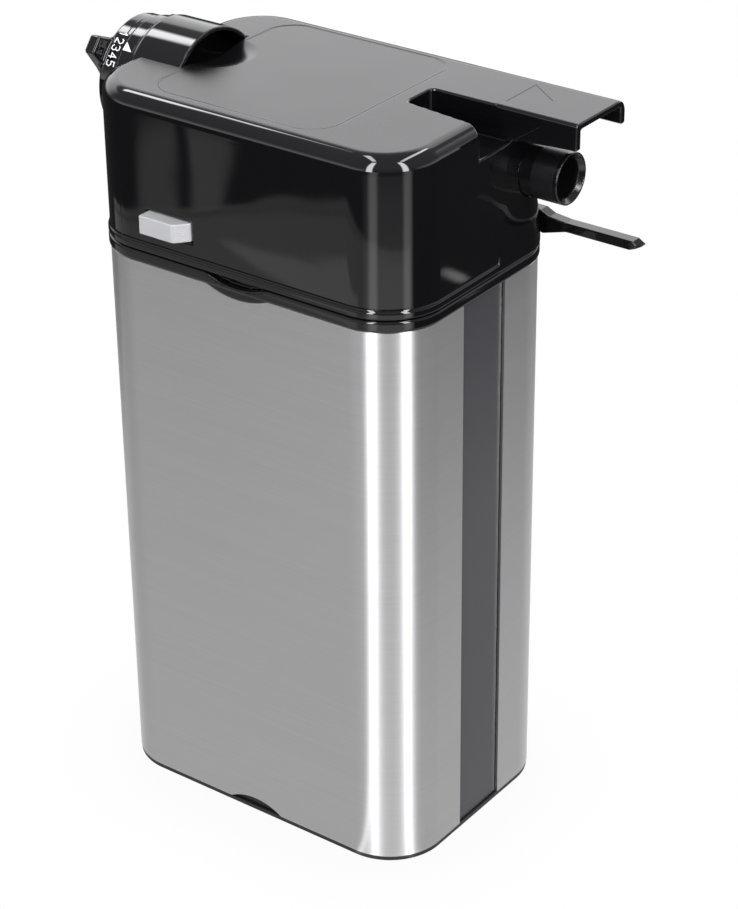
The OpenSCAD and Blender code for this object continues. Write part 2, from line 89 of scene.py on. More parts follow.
def poly(x, y, pts):
    d = np.full(np.shape(x), 1e9, np.float32)
    s = np.ones(np.shape(x), np.float32)
    n = len(pts)
    for i in range(n):
        ax, ay = pts[i]
        bx_, by_ = pts[i - 1]
        ex, ey = bx_ - ax, by_ - ay
        wx, wy = x - ax, y - ay
        t = np.clip((wx * ex + wy * ey) / (ex * ex + ey * ey), 0, 1)
        dx, dy = wx - ex * t, wy - ey * t
        d = np.minimum(d, dx * dx + dy * dy)
        c1, c2, c3 = y >= ay, y < by_, ex * wy > ey * wx
        flip = (c1 & c2 & c3) | (~c1 & ~c2 & ~c3)
        s = np.where(flip, -s, s)
    return s * np.sqrt(d)


def sstep(a, b, t):
    t = np.clip((t - a) / (b - a), 0, 1)
    return t * t * (3 - 2 * t)


# ------------------------------------------------------------------ meshing


def grad(f, p, eps):
    g = np.empty_like(p)
    for k in range(3):
        d = np.zeros(3)
        d[k] = eps
        a, b = p + d, p - d
        g[:, k] = f(a[:, 0], a[:, 1], a[:, 2]) - f(b[:, 0], b[:, 1], b[:, 2])
    n = np.linalg.norm(g, axis=1)
    return g / (2 * eps), n / (2 * eps)


def sdf_grid(f, lo, hi, h):
    B = 8
    lo = np.array(lo, float) - 1.37 * h
    nb = np.ceil((np.array(hi, float) + 1.6 * h - lo) / h / B).astype(int)
    n = nb * B
    ci = [lo[k] + (np.arange(nb[k]) * B + (B - 1) / 2) * h for k in range(3)]
    cx, cy, cz = np.meshgrid(*ci, indexing="ij")
    fc = f(cx.ravel(), cy.ravel(), cz.ravel()).reshape(nb)
    F = np.repeat(np.repeat(np.repeat(fc, B, 0), B, 1), B, 2).astype(np.float32)
    act = np.argwhere(np.abs(fc) < (B / 2 + 1) * h * 1.732 * 1.25)
    off = np.stack(np.meshgrid(range(B), range(B), range(B), indexing="ij"), -1).reshape(-1, 3)
    step = 400
    for s in range(0, len(act), step):
        idx = (act[s : s + step, None, :] * B + off[None]).reshape(-1, 3)
        p = lo + idx * h
        F[idx[:, 0], idx[:, 1], idx[:, 2]] = f(p[:, 0], p[:, 1], p[:, 2])
    return F, lo


def surface_nets(f, lo, hi, h, eps=None):
    F, o = sdf_grid(f, lo, hi, h)
    ins = F < 0
    nx, ny, nz = F.shape
    cs = [(i, j, k) for i in (0, 1) for j in (0, 1) for k in (0, 1)]
    cnt = np.zeros((nx - 1, ny - 1, nz - 1), np.int8)
    for i, j, k in cs:
        cnt += ins[i : nx - 1 + i, j : ny - 1 + j, k : nz - 1 + k]
    idx = np.argwhere((cnt > 0) & (cnt < 8))
    vid = np.full(cnt.shape, -1, np.int32)
    vid[idx[:, 0], idx[:, 1], idx[:, 2]] = np.arange(len(idx))
    acc = np.zeros((len(idx), 3))
    num = np.zeros(len(idx))
    for a in range(3):
        for c in cs:
            if c[a]:
                continue
            c = np.array(c)
            d = c.copy()
            d[a] = 1
            p, q = idx + c, idx + d
            fa = F[p[:, 0], p[:, 1], p[:, 2]]
            fb = F[q[:, 0], q[:, 1], q[:, 2]]
            m = (fa < 0) != (fb < 0)
            t = np.where(m, fa / np.where(m, fa - fb, 1), 0)
            pos = np.tile(c.astype(float), (len(idx), 1))
            pos[:, a] = t
            acc[m] += pos[m]
            num[m] += 1
    v = o + (idx + acc / num[:, None]) * h
    faces = []
    for a in range(3):
        b, c = (a + 1) % 3, (a + 2) % 3
        sl0, sl1 = [slice(None)] * 3, [slice(None)] * 3
        sl0[a], sl1[a] = slice(0, -1), slice(1, None)
        s0, s1 = ins[tuple(sl0)], ins[tuple(sl1)]
        e = np.argwhere(s0 != s1)
        e = e[(e[:, b] > 0) & (e[:, c] > 0) & (e[:, b] < F.shape[b] - 1) & (e[:, c] < F.shape[c] - 1)]
        neg = s0[e[:, 0], e[:, 1], e[:, 2]]
        q = []
        for db, dc in ((-1, -1), (0, -1), (0, 0), (-1, 0)):
            g = e.copy()
            g[:, b] += db
            g[:, c] += dc
            q.append(vid[g[:, 0], g[:, 1], g[:, 2]])
        q = np.stack(q, 1)
        q[~neg] = q[~neg][:, ::-1]
        faces.append(q)
    faces = np.concatenate(faces)
    eps = eps or 0.12 * h
    for _ in range(3):
        g, n = grad(f, v, eps)
        d = f(v[:, 0], v[:, 1], v[:, 2]) / np.maximum(n, 0.3) ** 2
        mv = -g * d[:, None]
        ln = np.linalg.norm(mv, axis=1)
        mv *= np.minimum(1, 0.45 * h / np.maximum(ln, 1e-9))[:, None]
        v = v + mv
    return v, faces


def add_mesh(name, v, faces, body, material, replaces=(), normals=None, smooth=True):
    me = bpy.data.meshes.new(name)
    me.from_pydata((np.asarray(v, float) / 1000.0).tolist(), [], faces.tolist() if hasattr(faces, "tolist") else faces)
    me.polygons.foreach_set("use_smooth", [smooth] * len(me.polygons))
    me.update()
    o = bpy.data.objects.new(name, me)
    bpy.context.scene.collection.objects.link(o)
    if normals is not None:
        me.normals_split_custom_set_from_vertices(normals.tolist())
    me.materials.append(material)
    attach(o, body)
    if replaces:
        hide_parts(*replaces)
    return o


def sdf_piece(name, f, lo, hi, h, body, material, replaces=(), eps=0.05, flat=True):
    v, faces = surface_nets(f, lo, hi, h)
    bm = bmesh.new()
    bv = [bm.verts.new(p) for p in (v / 1000.0).tolist()]
    for q in faces.tolist():
        if len(set(q)) == 4:
            try:
                bm.faces.new([bv[i] for i in q])
            except ValueError:
                pass
    bmesh.ops.remove_doubles(bm, verts=bm.verts, dist=2e-6)
    if flat:
        bmesh.ops.dissolve_limit(bm, angle_limit=0.0006, verts=bm.verts, edges=bm.edges)
    me = bpy.data.meshes.new(name)
    bm.to_mesh(me)
    bm.free()
    n = len(me.vertices)
    co = np.empty(n * 3)
    me.vertices.foreach_get("co", co)
    g, ln = grad(f, co.reshape(-1, 3) * 1000.0, eps)
    nor = g / np.maximum(ln, 1e-6)[:, None]
    me.polygons.foreach_set("use_smooth", [True] * len(me.polygons))
    me.normals_split_custom_set_from_vertices(nor.tolist())
    me.materials.append(material)
    o = bpy.data.objects.new(name, me)
    bpy.context.scene.collection.objects.link(o)
    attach(o, body)
    if replaces:
        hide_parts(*replaces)
    print("piece", name, n, "verts", len(me.polygons), "faces")
    return o


# ------------------------------------------------------------------ node helpers


class Nodes:
    def __init__(self, tree):
        self.t = tree
        tree.nodes.clear()

    def new(self, kind, **kw):
        n = self.t.nodes.new(kind)
        for k, v in kw.items():
            setattr(n, k, v)
        return n

    def link(self, a, b):
        self.t.links.new(a, b)

    def put(self, socket, value):
        if isinstance(value, bpy.types.NodeSocket):
            self.link(value, socket)
        elif value is not None:
            socket.default_value = value

    def math(self, op, a, b=None, c=None, clamp=False):
        n = self.new("ShaderNodeMath", operation=op, use_clamp=clamp)
        for s, v in zip(n.inputs, (a, b, c)):
            self.put(s, v)
        return n.outputs[0]

    def smooth(self, v, a, b, lo=0.0, hi=1.0):
        n = self.new("ShaderNodeMapRange", interpolation_type="SMOOTHSTEP")
        for s, x in zip(n.inputs, (v, a, b, lo, hi)):
            self.put(s, x)
        return n.outputs[0]

    def lin(self, v, a, b, lo=0.0, hi=1.0):
        n = self.new("ShaderNodeMapRange")
        for s, x in zip(n.inputs, (v, a, b, lo, hi)):
            self.put(s, x)
        return n.outputs[0]

    def noise(self, vec, scale, detail=2.0, rough=0.5, dist=0.0):
        n = self.new("ShaderNodeTexNoise")
        self.put(n.inputs["Vector"], vec)
        n.inputs["Scale"].default_value = scale
        n.inputs["Detail"].default_value = detail
        n.inputs["Roughness"].default_value = rough
        n.inputs["Distortion"].default_value = dist
        return n.outputs["Fac"] if "Fac" in n.outputs else n.outputs[0]

    def vec(self, v, scale=(1, 1, 1), rot=(0, 0, 0)):
        n = self.new("ShaderNodeMapping")
        self.put(n.inputs["Vector"], v)
        n.inputs["Scale"].default_value = scale
        n.inputs["Rotation"].default_value = rot
        return n.outputs[0]

    def mixc(self, fac, a, b):
        n = self.new("ShaderNodeMix", data_type="RGBA")
        self.put(n.inputs[0], fac)
        self.put(n.inputs[6], a)
        self.put(n.inputs[7], b)
        return n.outputs[2]

    def bump(self, height, strength, distance, normal=None):
        n = self.new("ShaderNodeBump")
        n.inputs["Strength"].default_value = strength
        n.inputs["Distance"].default_value = distance
        self.put(n.inputs["Height"], height)
        if normal is not None:
            self.link(normal, n.inputs["Normal"])
        return n.outputs[0]


def mat(name):
    m = bpy.data.materials.new(name)
    m.use_nodes = True
    return m, Nodes(m.node_tree)


def rgb(h, k=1.0):
    c = [int(h[i : i + 2], 16) / 255 for i in (0, 2, 4)]
    c = [x / 12.92 if x <= 0.04045 else ((x + 0.055) / 1.055) ** 2.4 for x in c]
    return (c[0] * k, c[1] * k, c[2] * k, 1.0)


def plastic(name, col, rough, grain=0.0, grain_scale=9000.0, wave=0.0, ior=1.5, edge=0.0, round_mm=0.0,
            rough_var=0.04, tint=0.06, spec=0.5, sub=0.0, coat=0.0, level_rough=0.0, zone=None):
    """Moulded plastic: colour and roughness drift, moulded grain, slow surface waviness, worn edges."""
    m, n = mat(name)
    tc = n.new("ShaderNodeTexCoord").outputs["Object"]
    out = n.new("ShaderNodeOutputMaterial")
    p = n.new("ShaderNodeBsdfPrincipled")
    n.link(p.outputs[0], out.inputs[0])
    drift = n.noise(tc, 28.0, 3.0)
    fine = n.noise(tc, 900.0, 3.0, 0.6)
    base = n.mixc(n.lin(drift, 0.35, 0.65), tuple(c * (1 - tint) for c in col[:3]) + (1.0,), tuple(min(1, c * (1 + tint)) for c in col[:3]) + (1.0,))
    if edge:
        geo = n.new("ShaderNodeNewGeometry").outputs["Pointiness"]
        worn = n.math("MULTIPLY", n.smooth(geo, 0.53, 0.60), n.lin(n.noise(tc, 350.0, 4.0, 0.7), 0.35, 0.7))
        base = n.mixc(n.math("MULTIPLY", worn, edge), base, tuple(min(1, c * 1.6 + 0.03) for c in col[:3]) + (1.0,))
    n.put(p.inputs["Base Color"], base)
    r = n.lin(n.math("ADD", n.math("MULTIPLY", drift, 0.6), n.math("MULTIPLY", fine, 0.4)), 0.3, 0.7, max(0.0, rough - rough_var), rough + rough_var)
    if level_rough:
        # the level top has a fine satin texture, the rest is polished
        up = n.new("ShaderNodeSeparateXYZ")
        n.link(n.new("ShaderNodeNewGeometry").outputs["Normal"], up.inputs[0])
        pos = n.new("ShaderNodeSeparateXYZ")
        n.link(tc, pos.inputs[0])
        mask = n.math("MULTIPLY", n.smooth(up.outputs[2], 0.93, 0.995), n.smooth(pos.outputs[2], 0.196, 0.1975))
        r = n.math("ADD", r, n.math("MULTIPLY", mask, level_rough))
    if zone:
        # satin only between two stations along X, polished beyond them
        pos = n.new("ShaderNodeSeparateXYZ")
        n.link(tc, pos.inputs[0])
        mask = n.math("MULTIPLY", n.smooth(pos.outputs[0], zone[0] - 0.0002, zone[0] + 0.0002), n.smooth(pos.outputs[0], zone[1] - 0.0001, zone[1] + 0.0001, 1.0, 0.0))
        r = n.math("ADD", n.math("MULTIPLY", r, mask), n.math("MULTIPLY", n.math("SUBTRACT", 1.0, mask), zone[2]))
    n.put(p.inputs["Roughness"], r)
    p.inputs["IOR"].default_value = ior
    p.inputs["Specular IOR Level"].default_value = spec
    if sub:
        p.inputs["Subsurface Weight"].default_value = sub
        p.inputs["Subsurface Radius"].default_value = (0.004, 0.004, 0.004)
        p.inputs["Subsurface Scale"].default_value = 0.5
    if coat:
        p.inputs["Coat Weight"].default_value = coat
        p.inputs["Coat Roughness"].default_value = 0.04
    nor = None
    if round_mm:
        bv = n.new("ShaderNodeBevel", samples=4)
        bv.inputs["Radius"].default_value = round_mm / 1000.0
        nor = bv.outputs[0]
    if wave:
        nor = n.bump(n.noise(tc, 34.0, 1.0, 0.4), wave, 0.004, nor)
    if grain:
        nor = n.bump(n.noise(tc, grain_scale, 2.0, 0.6), grain, 0.00006, nor)
    if nor is not None:
        n.put(p.inputs["Normal"], nor)
    return m


def brushed(name, col=(0.60, 0.60, 0.605), rough=0.36, aniso=0.92, lines=2600.0):
    """Sheet steel brushed round the jug: the grain runs level, so highlights stretch upright."""
    m, n = mat(name)
    tc = n.new("ShaderNodeTexCoord").outputs["Object"]
    out = n.new("ShaderNodeOutputMaterial")
    p = n.new("ShaderNodeBsdfPrincipled")
    n.link(p.outputs[0], out.inputs[0])
    g1 = n.noise(n.vec(tc, (14, 14, lines)), 1.0, 4.0, 0.65)
    g2 = n.noise(n.vec(tc, (45, 45, lines * 2.6)), 1.0, 2.0, 0.6)
    g3 = n.noise(n.vec(tc, (3, 3, 260)), 1.0, 3.0, 0.6)
    grain = n.math("ADD", n.math("MULTIPLY", g1, 0.55), n.math("MULTIPLY", g2, 0.45))
    shade = n.lin(n.math("ADD", n.math("MULTIPLY", grain, 0.8), n.math("MULTIPLY", g3, 0.2)), 0.3, 0.7, 0.0, 1.0)
    n.put(p.inputs["Base Color"], n.mixc(shade, tuple(c * 1.0 for c in col) + (1,), tuple(min(1, c * 1.12) for c in col) + (1,)))
    p.inputs["Metallic"].default_value = 1.0
    n.put(p.inputs["Roughness"], n.lin(grain, 0.25, 0.75, rough - 0.03, rough + 0.03))
    p.inputs["Anisotropic"].default_value = aniso
    t = n.new("ShaderNodeCombineXYZ")
    t.inputs[2].default_value = 1.0
    n.link(t.outputs[0], p.inputs["Tangent"])
    n.put(p.inputs["Normal"], n.bump(grain, 0.05, 0.00004))
    return m


def metal(name, col, rough, round_mm=0.15):
    m, n = mat(name)
    tc = n.new("ShaderNodeTexCoord").outputs["Object"]
    out = n.new("ShaderNodeOutputMaterial")
    p = n.new("ShaderNodeBsdfPrincipled")
    n.link(p.outputs[0], out.inputs[0])
    d = n.noise(tc, 700.0, 3.0, 0.6)
    n.put(p.inputs["Base Color"], n.mixc(d, tuple(c * 0.85 for c in col) + (1,), tuple(min(1, c * 1.1) for c in col) + (1,)))
    p.inputs["Metallic"].default_value = 1.0
    n.put(p.inputs["Roughness"], n.lin(d, 0.3, 0.7, rough - 0.05, rough + 0.08))
    nor = None
    if round_mm:
        bv = n.new("ShaderNodeBevel", samples=4)
        bv.inputs["Radius"].default_value = round_mm / 1000.0
        nor = bv.outputs[0]
    n.put(p.inputs["Normal"], n.bump(n.noise(tc, 5000.0, 2.0), 0.1, 0.00003, nor))
    return m


def clear(name, tint=(0.93, 0.96, 0.97), rough=0.08, round_mm=0.3):
    m, n = mat(name)
    tc = n.new("ShaderNodeTexCoord").outputs["Object"]
    out = n.new("ShaderNodeOutputMaterial")
    p = n.new("ShaderNodeBsdfPrincipled")
    n.link(p.outputs[0], out.inputs[0])
    n.put(p.inputs["Base Color"], n.mixc(n.noise(tc, 40.0, 2.0), tint + (1,), tuple(c * 0.96 for c in tint) + (1,)))
    n.put(p.inputs["Roughness"], n.lin(n.noise(tc, 500.0, 3.0), 0.3, 0.7, rough, rough + 0.12))
    p.inputs["Transmission Weight"].default_value = 0.55
    p.inputs["IOR"].default_value = 1.45
    if round_mm:
        bv = n.new("ShaderNodeBevel", samples=4)
        bv.inputs["Radius"].default_value = round_mm / 1000.0
        n.put(p.inputs["Normal"], bv.outputs[0])
    return m


def paint_mark(name, col=(0.86, 0.86, 0.86)):
    m, n = mat(name)
    tc = n.new("ShaderNodeTexCoord").outputs["Object"]
    out = n.new("ShaderNodeOutputMaterial")
    p = n.new("ShaderNodeBsdfPrincipled")
    n.link(p.outputs[0], out.inputs[0])
    n.put(p.inputs["Base Color"], n.mixc(n.noise(tc, 2500.0, 3.0), tuple(c * 0.82 for c in col) + (1,), col + (1,)))
    p.inputs["Roughness"].default_value = 0.5
    n.put(p.inputs["Normal"], n.bump(n.noise(tc, 6000.0, 2.0), 0.15, 0.00003))
    return m


BLACK = rgb("0b0b0d")
M = {
    "gloss": plastic("black_gloss_moulding", BLACK, 0.03, wave=0.04, edge=0.0, rough_var=0.015),
    "head": plastic("black_gloss_satin_top", BLACK, 0.018, wave=0.05, edge=0.0, rough_var=0.006, level_rough=0.25, grain=0.012, grain_scale=7000.0),
    "gloss_flat": plastic("black_gloss_trim", BLACK, 0.075, wave=0.03, edge=0.3, rough_var=0.03),
    "satin": plastic("black_satin_moulding", rgb("131316"), 0.30, grain=0.35, edge=0.35),
    "nozzle": plastic("black_nozzle_moulding", rgb("0c0c0e"), 0.32, grain=0.2, edge=0.0, zone=(0.0522, 0.0588, 0.06)),
    "dark": plastic("dark_structural_plastic", rgb("1b1b1d"), 0.38, grain=0.3, round_mm=0.3, edge=0.0),
    "strip": plastic("spine_strip_plastic", rgb("3a3a3e"), 0.34, grain=0.30, grain_scale=5000.0, edge=0.4, spec=0.55),
    "base": plastic("base_cover_plastic", rgb("141416"), 0.34, grain=0.25, round_mm=0.3),
    "button": plastic("button_grey_plastic", rgb("a9a9ac"), 0.34, grain=0.22, edge=0.2, sub=0.05, tint=0.03),
    "clear": clear("clear_liner_plastic"),
    "tube": clear("milk_tube_plastic", (0.93, 0.95, 0.96), 0.18, 0.2),
    "silicone": plastic("grey_silicone", rgb("b9b9bb"), 0.55, grain=0.2, round_mm=0.3, sub=0.1),
    "white": plastic("white_acetal", rgb("d6d6d8"), 0.32, grain=0.15, round_mm=0.25, sub=0.08),
    "seal": plastic("seal_rubber_orange", rgb("b9532f"), 0.5, grain=0.25, round_mm=0.15),
    "steel": brushed("brushed_steel_sheet"),
    "screw": metal("zinc_screw", (0.62, 0.62, 0.64), 0.28),
    "spring": metal("spring_wire", (0.66, 0.66, 0.68), 0.22, 0.0),
    "mark": paint_mark("printed_mark"),
    "groove": plastic("groove_shadow", rgb("0a0a0c"), 0.45, grain=0.2),
}

# ------------------------------------------------------------------ steel sleeve


def outline(l, w, r, seg=28):
    """Rounded rectangle from the middle of the +X side, anticlockwise: points, normals."""
    pts, nor = [], []
    cs = [(l / 2 - r, w / 2 - r, 0), (-l / 2 + r, w / 2 - r, 90), (-l / 2 + r, -w / 2 + r, 180), (l / 2 - r, -w / 2 + r, 270)]
    for cx, cy, a0 in cs:
        for i in range(seg + 1):
            a = math.radians(a0 + 90.0 * i / seg)
            pts.append((cx + r * cos(a), cy + r * sin(a)))
            nor.append((cos(a), sin(a)))
    return pts, nor


def sleeve():
    l, w, r, t = 100.0, 70.0, 16.0, 0.8
    pts, nor = outline(l, w, r)
    n0 = 29
    xs = [i * 0.4 for i in range(-28, 29)]
    P, N = [(50.0, 9.0)], [(1.0, 0.0)]
    P.append((50.0, 9.35)); N.append((1, 0))
    for k in range(4):
        P += pts[k * n0 : (k + 1) * n0]
        N += nor[k * n0 : (k + 1) * n0]
        if k == 0:
            P += [(x, 35.0) for x in reversed(xs)]
            N += [(0.0, 1.0)] * len(xs)
        if k == 2:
            P += [(x, -35.0) for x in xs]
            N += [(0.0, -1.0)] * len(xs)
    P += [(50.0, -9.35), (50.0, -9.0)]
    N += [(1, 0)] * 2
    nr = (10.3 ** 2 + 3.7 ** 2) / (2 * 3.7)

    def top(x, y):
        if abs(y) < 34.9 or abs(x + 0.3) > 9.59:
            return 157.0
        return min(157.0, 179.0 - math.sqrt(max(0, 24.0 ** 2 - (x + 0.3) ** 2)))

    def bot(x, y):
        if abs(y) < 34.9 or abs(x) > 8.6:
            return 1.2
        return max(1.2, 3.7 - nr + math.sqrt(nr * nr - x * x))

    # each station's section: (offset inwards, height above bottom or below top, which end, normal tilt)
    c = 0.16
    sec = []
    for tt, zz, end, nn in (
        (0, 0.9, 0, (1, 0)), (0, 0.9, 1, (1, 0)), (0, c, 1, (1, 0)), (c * 0.3, c * 0.3, 1, (0.707, 0.707)), (c, 0, 1, (0, 1)),
        (t - c, 0, 1, (0, 1)), (t - c * 0.3, c * 0.3, 1, (-0.707, 0.707)), (t, c, 1, (-1, 0)), (t, 0.9, 1, (-1, 0)), (t, 0.9, 0, (-1, 0)),
        (t, c, 0, (-1, 0)), (t - c * 0.3, c * 0.3, 0, (-0.707, -0.707)), (t - c, 0, 0, (0, -1)), (c, 0, 0, (0, -1)),
        (c * 0.3, c * 0.3, 0, (0.707, -0.707)), (0, c, 0, (1, 0)),
    ):
        sec.append((tt, zz, end, nn))
    V, VN = [], []
    m = len(sec)
    for (x, y), (nx, ny) in zip(P, N):
        zt, zb = top(x, y), bot(x, y)
        for tt, zz, end, nn in sec:
            z = zt - zz if end else zb + zz
            V.append((x - nx * tt, y - ny * tt, z))
            VN.append((nx * nn[0], ny * nn[0], nn[1]))
    F = []
    k = len(P)
    for i in range(k - 1):
        for j in range(m):
            a, b = i * m + j, i * m + (j + 1) % m
            F.append([a, a + m, b + m, b])
    # closed ends at the spine gap, on their own corners so that the cut edge stays crisp
    for i, sgn in ((0, -1.0), (k - 1, 1.0)):
        start = len(V)
        ring = [V[i * m + j] for j in range(m)]
        V += ring
        VN += [(0, -1.0 if i == 0 else 1.0, 0)] * m
        face = list(range(start, start + m))
        turn = sum(ring[j][2] * ring[(j + 1) % m][0] - ring[j][0] * ring[(j + 1) % m][2] for j in range(m))
        F.append(face if turn * sgn > 0 else face[::-1])
    return np.array(V), F, np.array(VN, float)


V, F, VN = sleeve()
steel = add_mesh("steel_sleeve_skin", V, F, "jug", M["steel"], ("steel_sleeve",), VN)

# ------------------------------------------------------------------ mouldings

HS = 0.5
SLOT = [(26.2, 1.9), (26.7, 0.7), (27.8, 0.1), (60, -3.9), (60, 10.9), (27.5, 10.9), (26.6, 10.5), (26.2, 9.6)]


def f_head(x, y, z):
    # the coupling end eases inwards towards the far corner
    back = 1.2 * sstep(2, 20, y) * sstep(167.5, 177, z) * sstep(0, 30, x)
    body = rmax(rr(x + back, y, 100, 70, 16), z - 202, 4.2 + 2.0 * sstep(0, 24, y))
    # shallow panel in the top, then the dish in front of the hood
    pd = rr(x, y, 54.3, 57.2, 8, -5.35, 0)
    body = np.where(z > 190, body + 0.11 * sstep(-0.4, 0.4, -pd), body)
    dish = 2.0 * (1 - sstep(0.0, 1.0, np.hypot((x + 33.7) / 13.0, y / 12.8)))
    body = np.where((x > -34.5) & (z > 190), np.maximum(body, (z - 202 + dish) * 0.94), body)
    tier = np.maximum(rr(x, y, 100.9, 70.5, 16.3) + 0.5 * sstep(163.5, 168.3, z), z - 169.0)
    tier = np.maximum(rmax(tier, 5.8 - y, 0.3), -x)
    body = smin(body, tier, 0.25)
    body = rmax(body, 160.4 - z, 0.4)
    bead = rmax(rr(x, y, 100.9, 70.9, 16.45), np.abs(z - 161.55) - 1.15, 0.6)
    body = smin(body, bead, 0.4)
    hol = rmax(rr(x, y, 95.6, 65.6, 13.8), z - 199.4, 1.8)
    for sx in (-1, 1):
        for sy in (-1, 1):
            boss = cyl(x - sx * 38, y - sy * 22, z, 3.4, 163, 173.5)
            x0, x1 = (38, 60) if sx > 0 else (-60, -38)
            rib = bx(x, y, z, x0, x1, sy * 22 - 1, sy * 22 + 1, 163, 173.5)
            hol = rmax(hol, -np.minimum(boss, rib), 0.4)
    hol = np.maximum(hol, -bx(x, y, z, 24, 60, -6.2, 60, 191, 210))
    hol = np.maximum(hol, -bx(x, y, z, 45, 60, -1, 60, 163.2, 210))
    hol = np.maximum(hol, -bx(x, y, z, -60, -14, -20, 20, 195, 210))
    body = np.maximum(body, -hol)
    slot = np.maximum(poly(x, y, SLOT), 193.2 - z)
    body = rmax(body, -slot, 0.5)
    under = bx(x, y, z, 27.2, 60, 10.9, 30.9, 193.2, 200.3)
    body = np.maximum(body, -under)
    far = bx(x, y, z, 40, 60, 30.89, 60, 193.2, 220)
    body = rmax(body, -far, 0.3)
    body = rmax(body, -cyl(y, z - 190.5, x, 17.66, -60, -33.7), 0.25)
    body = rmax(body, -cyl(y - 22.7, z - 182, x, 6.86, 40, 60), 0.3)
    body = rmax(body, -cyl(x - 12, z - 176, y, 6.06, 30, 40), 0.3)
    body = rmax(body, -bx(x, y, z, 40, 52, 30.14, 32.66, 163.74, 165.76), 0.15)
    ya = np.abs(y)
    body = rmax(body, -bx(x, ya, z, -28.45, -13.85, 28, 42, 166.75, 172.25, 0.3), 0.35)
    for sx in (-1, 1):
        for sy in (-1, 1):
            body = np.maximum(body, -cyl(x - sx * 38, y - sy * 22, z, 1.4, 162, 172.8))
    # docking rail
    a = rmax(10.9 - y, z - 202, 0.8)
    a = rmax(a, y - 32.6, 3.2)
    low = 193.2 + 0.6 * sstep(48.6, 49.2, x) + 1.4 * np.clip((x - 49.2) / 19.4, 0, 1)
    a = rmax(a, low - z, 0.3)
    inner = rmax(rmax(12.6 - y, z - 200.3, 0.5), y - 30.9, 1.4)
    a = rmax(a, -inner, 0.25)
    a = rmax(a, -np.maximum(29 - y, z - 195.6), 0.25)
    rail = rmax(a, np.abs(x - 47.4) - 21.2, 0.3)
    return np.minimum(body, rail)


sdf_piece("head_shell_moulding", f_head, (-50.5, -35.5, 160.4), (68.7, 35.5, 202.1), HS, "head", M["head"], ("head_shell",), eps=0.06)


def f_housing(x, y, z):
    zz = z - 190.5
    rad = np.hypot(y, zz)
    a = rmax(rad - 17.6, -50 - x, 1.3)
    a = rmax(a, x + 33.8, 0.35)
    a = np.minimum(a, rmax(rad - 17.0, np.abs(x + 50.1) - 0.5, 0.2))
    a = np.minimum(a, rmax(rad - 16.5, np.abs(x + 51.9) - 2.4, 0.3))
    a = np.minimum(a, cyl(x + 37.5, y, z, 4.6, 166, 180, 0.4))
    a = np.minimum(a, cyl(y - 6.5, z - 186.5, x, 3.4, -36, -27, 0.3))
    cav = np.maximum(np.maximum(rad - 16.3, -42.3 - x), 199.7 - z)
    a = rmax(a, -cav, 0.45)
    a = rmax(a, -cyl(y, zz, x, 12.0, -60, -43.5), 0.3)
    a = np.maximum(a, -cyl(x + 37.5, y, z, 2.4, 160, 185))
    a = np.maximum(a, -cyl(y, z - 184, x, 1.9, -44.7, -37.5))
    a = np.maximum(a, -cyl(y - 6.5, z - 186.5, x, 1.9, -44.7, -20))
    return a


sdf_piece("regulator_housing_moulding", f_housing, (-54.4, -17.7, 166), (-27, 17.7, 208.2), 0.4, "head", M["gloss"], ("regulator_housing",), eps=0.05)


def f_dial(x, y, z):
    z = z - 190.5
    rad = np.hypot(y, z)
    rim = rmax(rad - 16, -59.9 - x, 0.9)
    rim = rmax(rim, x + 54.45, 0.3)
    hub = rmax((rad - (12.6 + 0.62 * (x + 60))) * 0.85, -63.6 - x, 1.4)
    hub = np.maximum(hub, x + 57)
    a = smin(rim, hub, 1.2)
    for d in (51.5, -64.5, 173.5):
        c, s = cos(math.radians(d)), sin(math.radians(d))
        u, v = y * c + z * s, -y * s + z * c
        w = poly(u, v, [(-1.7, 19.5), (1.7, 19.5), (3.4, 13.2), (6.0, 6.0), (-6.0, 6.0), (-3.4, 13.2)]) - 0.88
        thick = np.abs(x + 60.95 + 0.004 * (v - 8)) - (2.3 - 0.055 * (v - 8))
        lobe = rmax(w, thick * 0.97, 0.7)
        a = smin(a, lobe, 1.3)
    a = np.maximum(a, -63.55 - x)
    a = rmax(a, -(np.sqrt((x + 71.4) ** 2 + rad * rad) - 9.2), 0.9)
    a = np.maximum(a, -bx(x, y, z, -59, -50, -4.1, 4.1, -4.1, 4.1))
    return a


sdf_piece("froth_dial_moulding", f_dial, (-64.2, -20.9, 169.3), (-54.4, 20.9, 211.6), 0.27, "dial", M["gloss"], ("froth_dial",), eps=0.05)


def f_collar(x, y, z):
    a = np.maximum(rr(x, y, 98, 68, 15), np.abs(z - 154.5) - 2.7)
    bead = rmax(rr(x, y, 100.9, 70.9, 16.45), np.abs(z - 158.65) - 1.55, 0.75)
    # the bead follows the dip in the sleeve
    dip = np.hypot(x + 0.3, z - 179.0)
    lip = np.maximum(rmax(rr(x, y, 100.5, 70.5, 16.25), dip - 23.9, 0.35), np.maximum(np.abs(x) - 14, 154.7 - z))
    lip = np.maximum(lip, z - 158.2)
    a = np.minimum(np.minimum(a, bead), lip)
    a = np.maximum(a, -rr(x, y, 93.4, 63.4, 12.7))
    a = np.maximum(a, -bx(x, y, z, 47.8, 49.4, -8.9, 8.9, 100, 157))
    ya = np.abs(y)
    a = np.maximum(a, -bx(x, ya, z, -28, -14, 30, 33.2, 151.9, 155.6))
    scoop = np.maximum(np.hypot(x + 0.3, z - 182.2) - 24, 33.4 - ya)
    return rmax(a, -scoop, 0.4)


sdf_piece("jug_collar_moulding", f_collar, (-50.6, -35.6, 151.8), (50.6, 35.6, 160.3), 0.4, "jug", M["gloss_flat"], ("jug_collar",), eps=0.05)


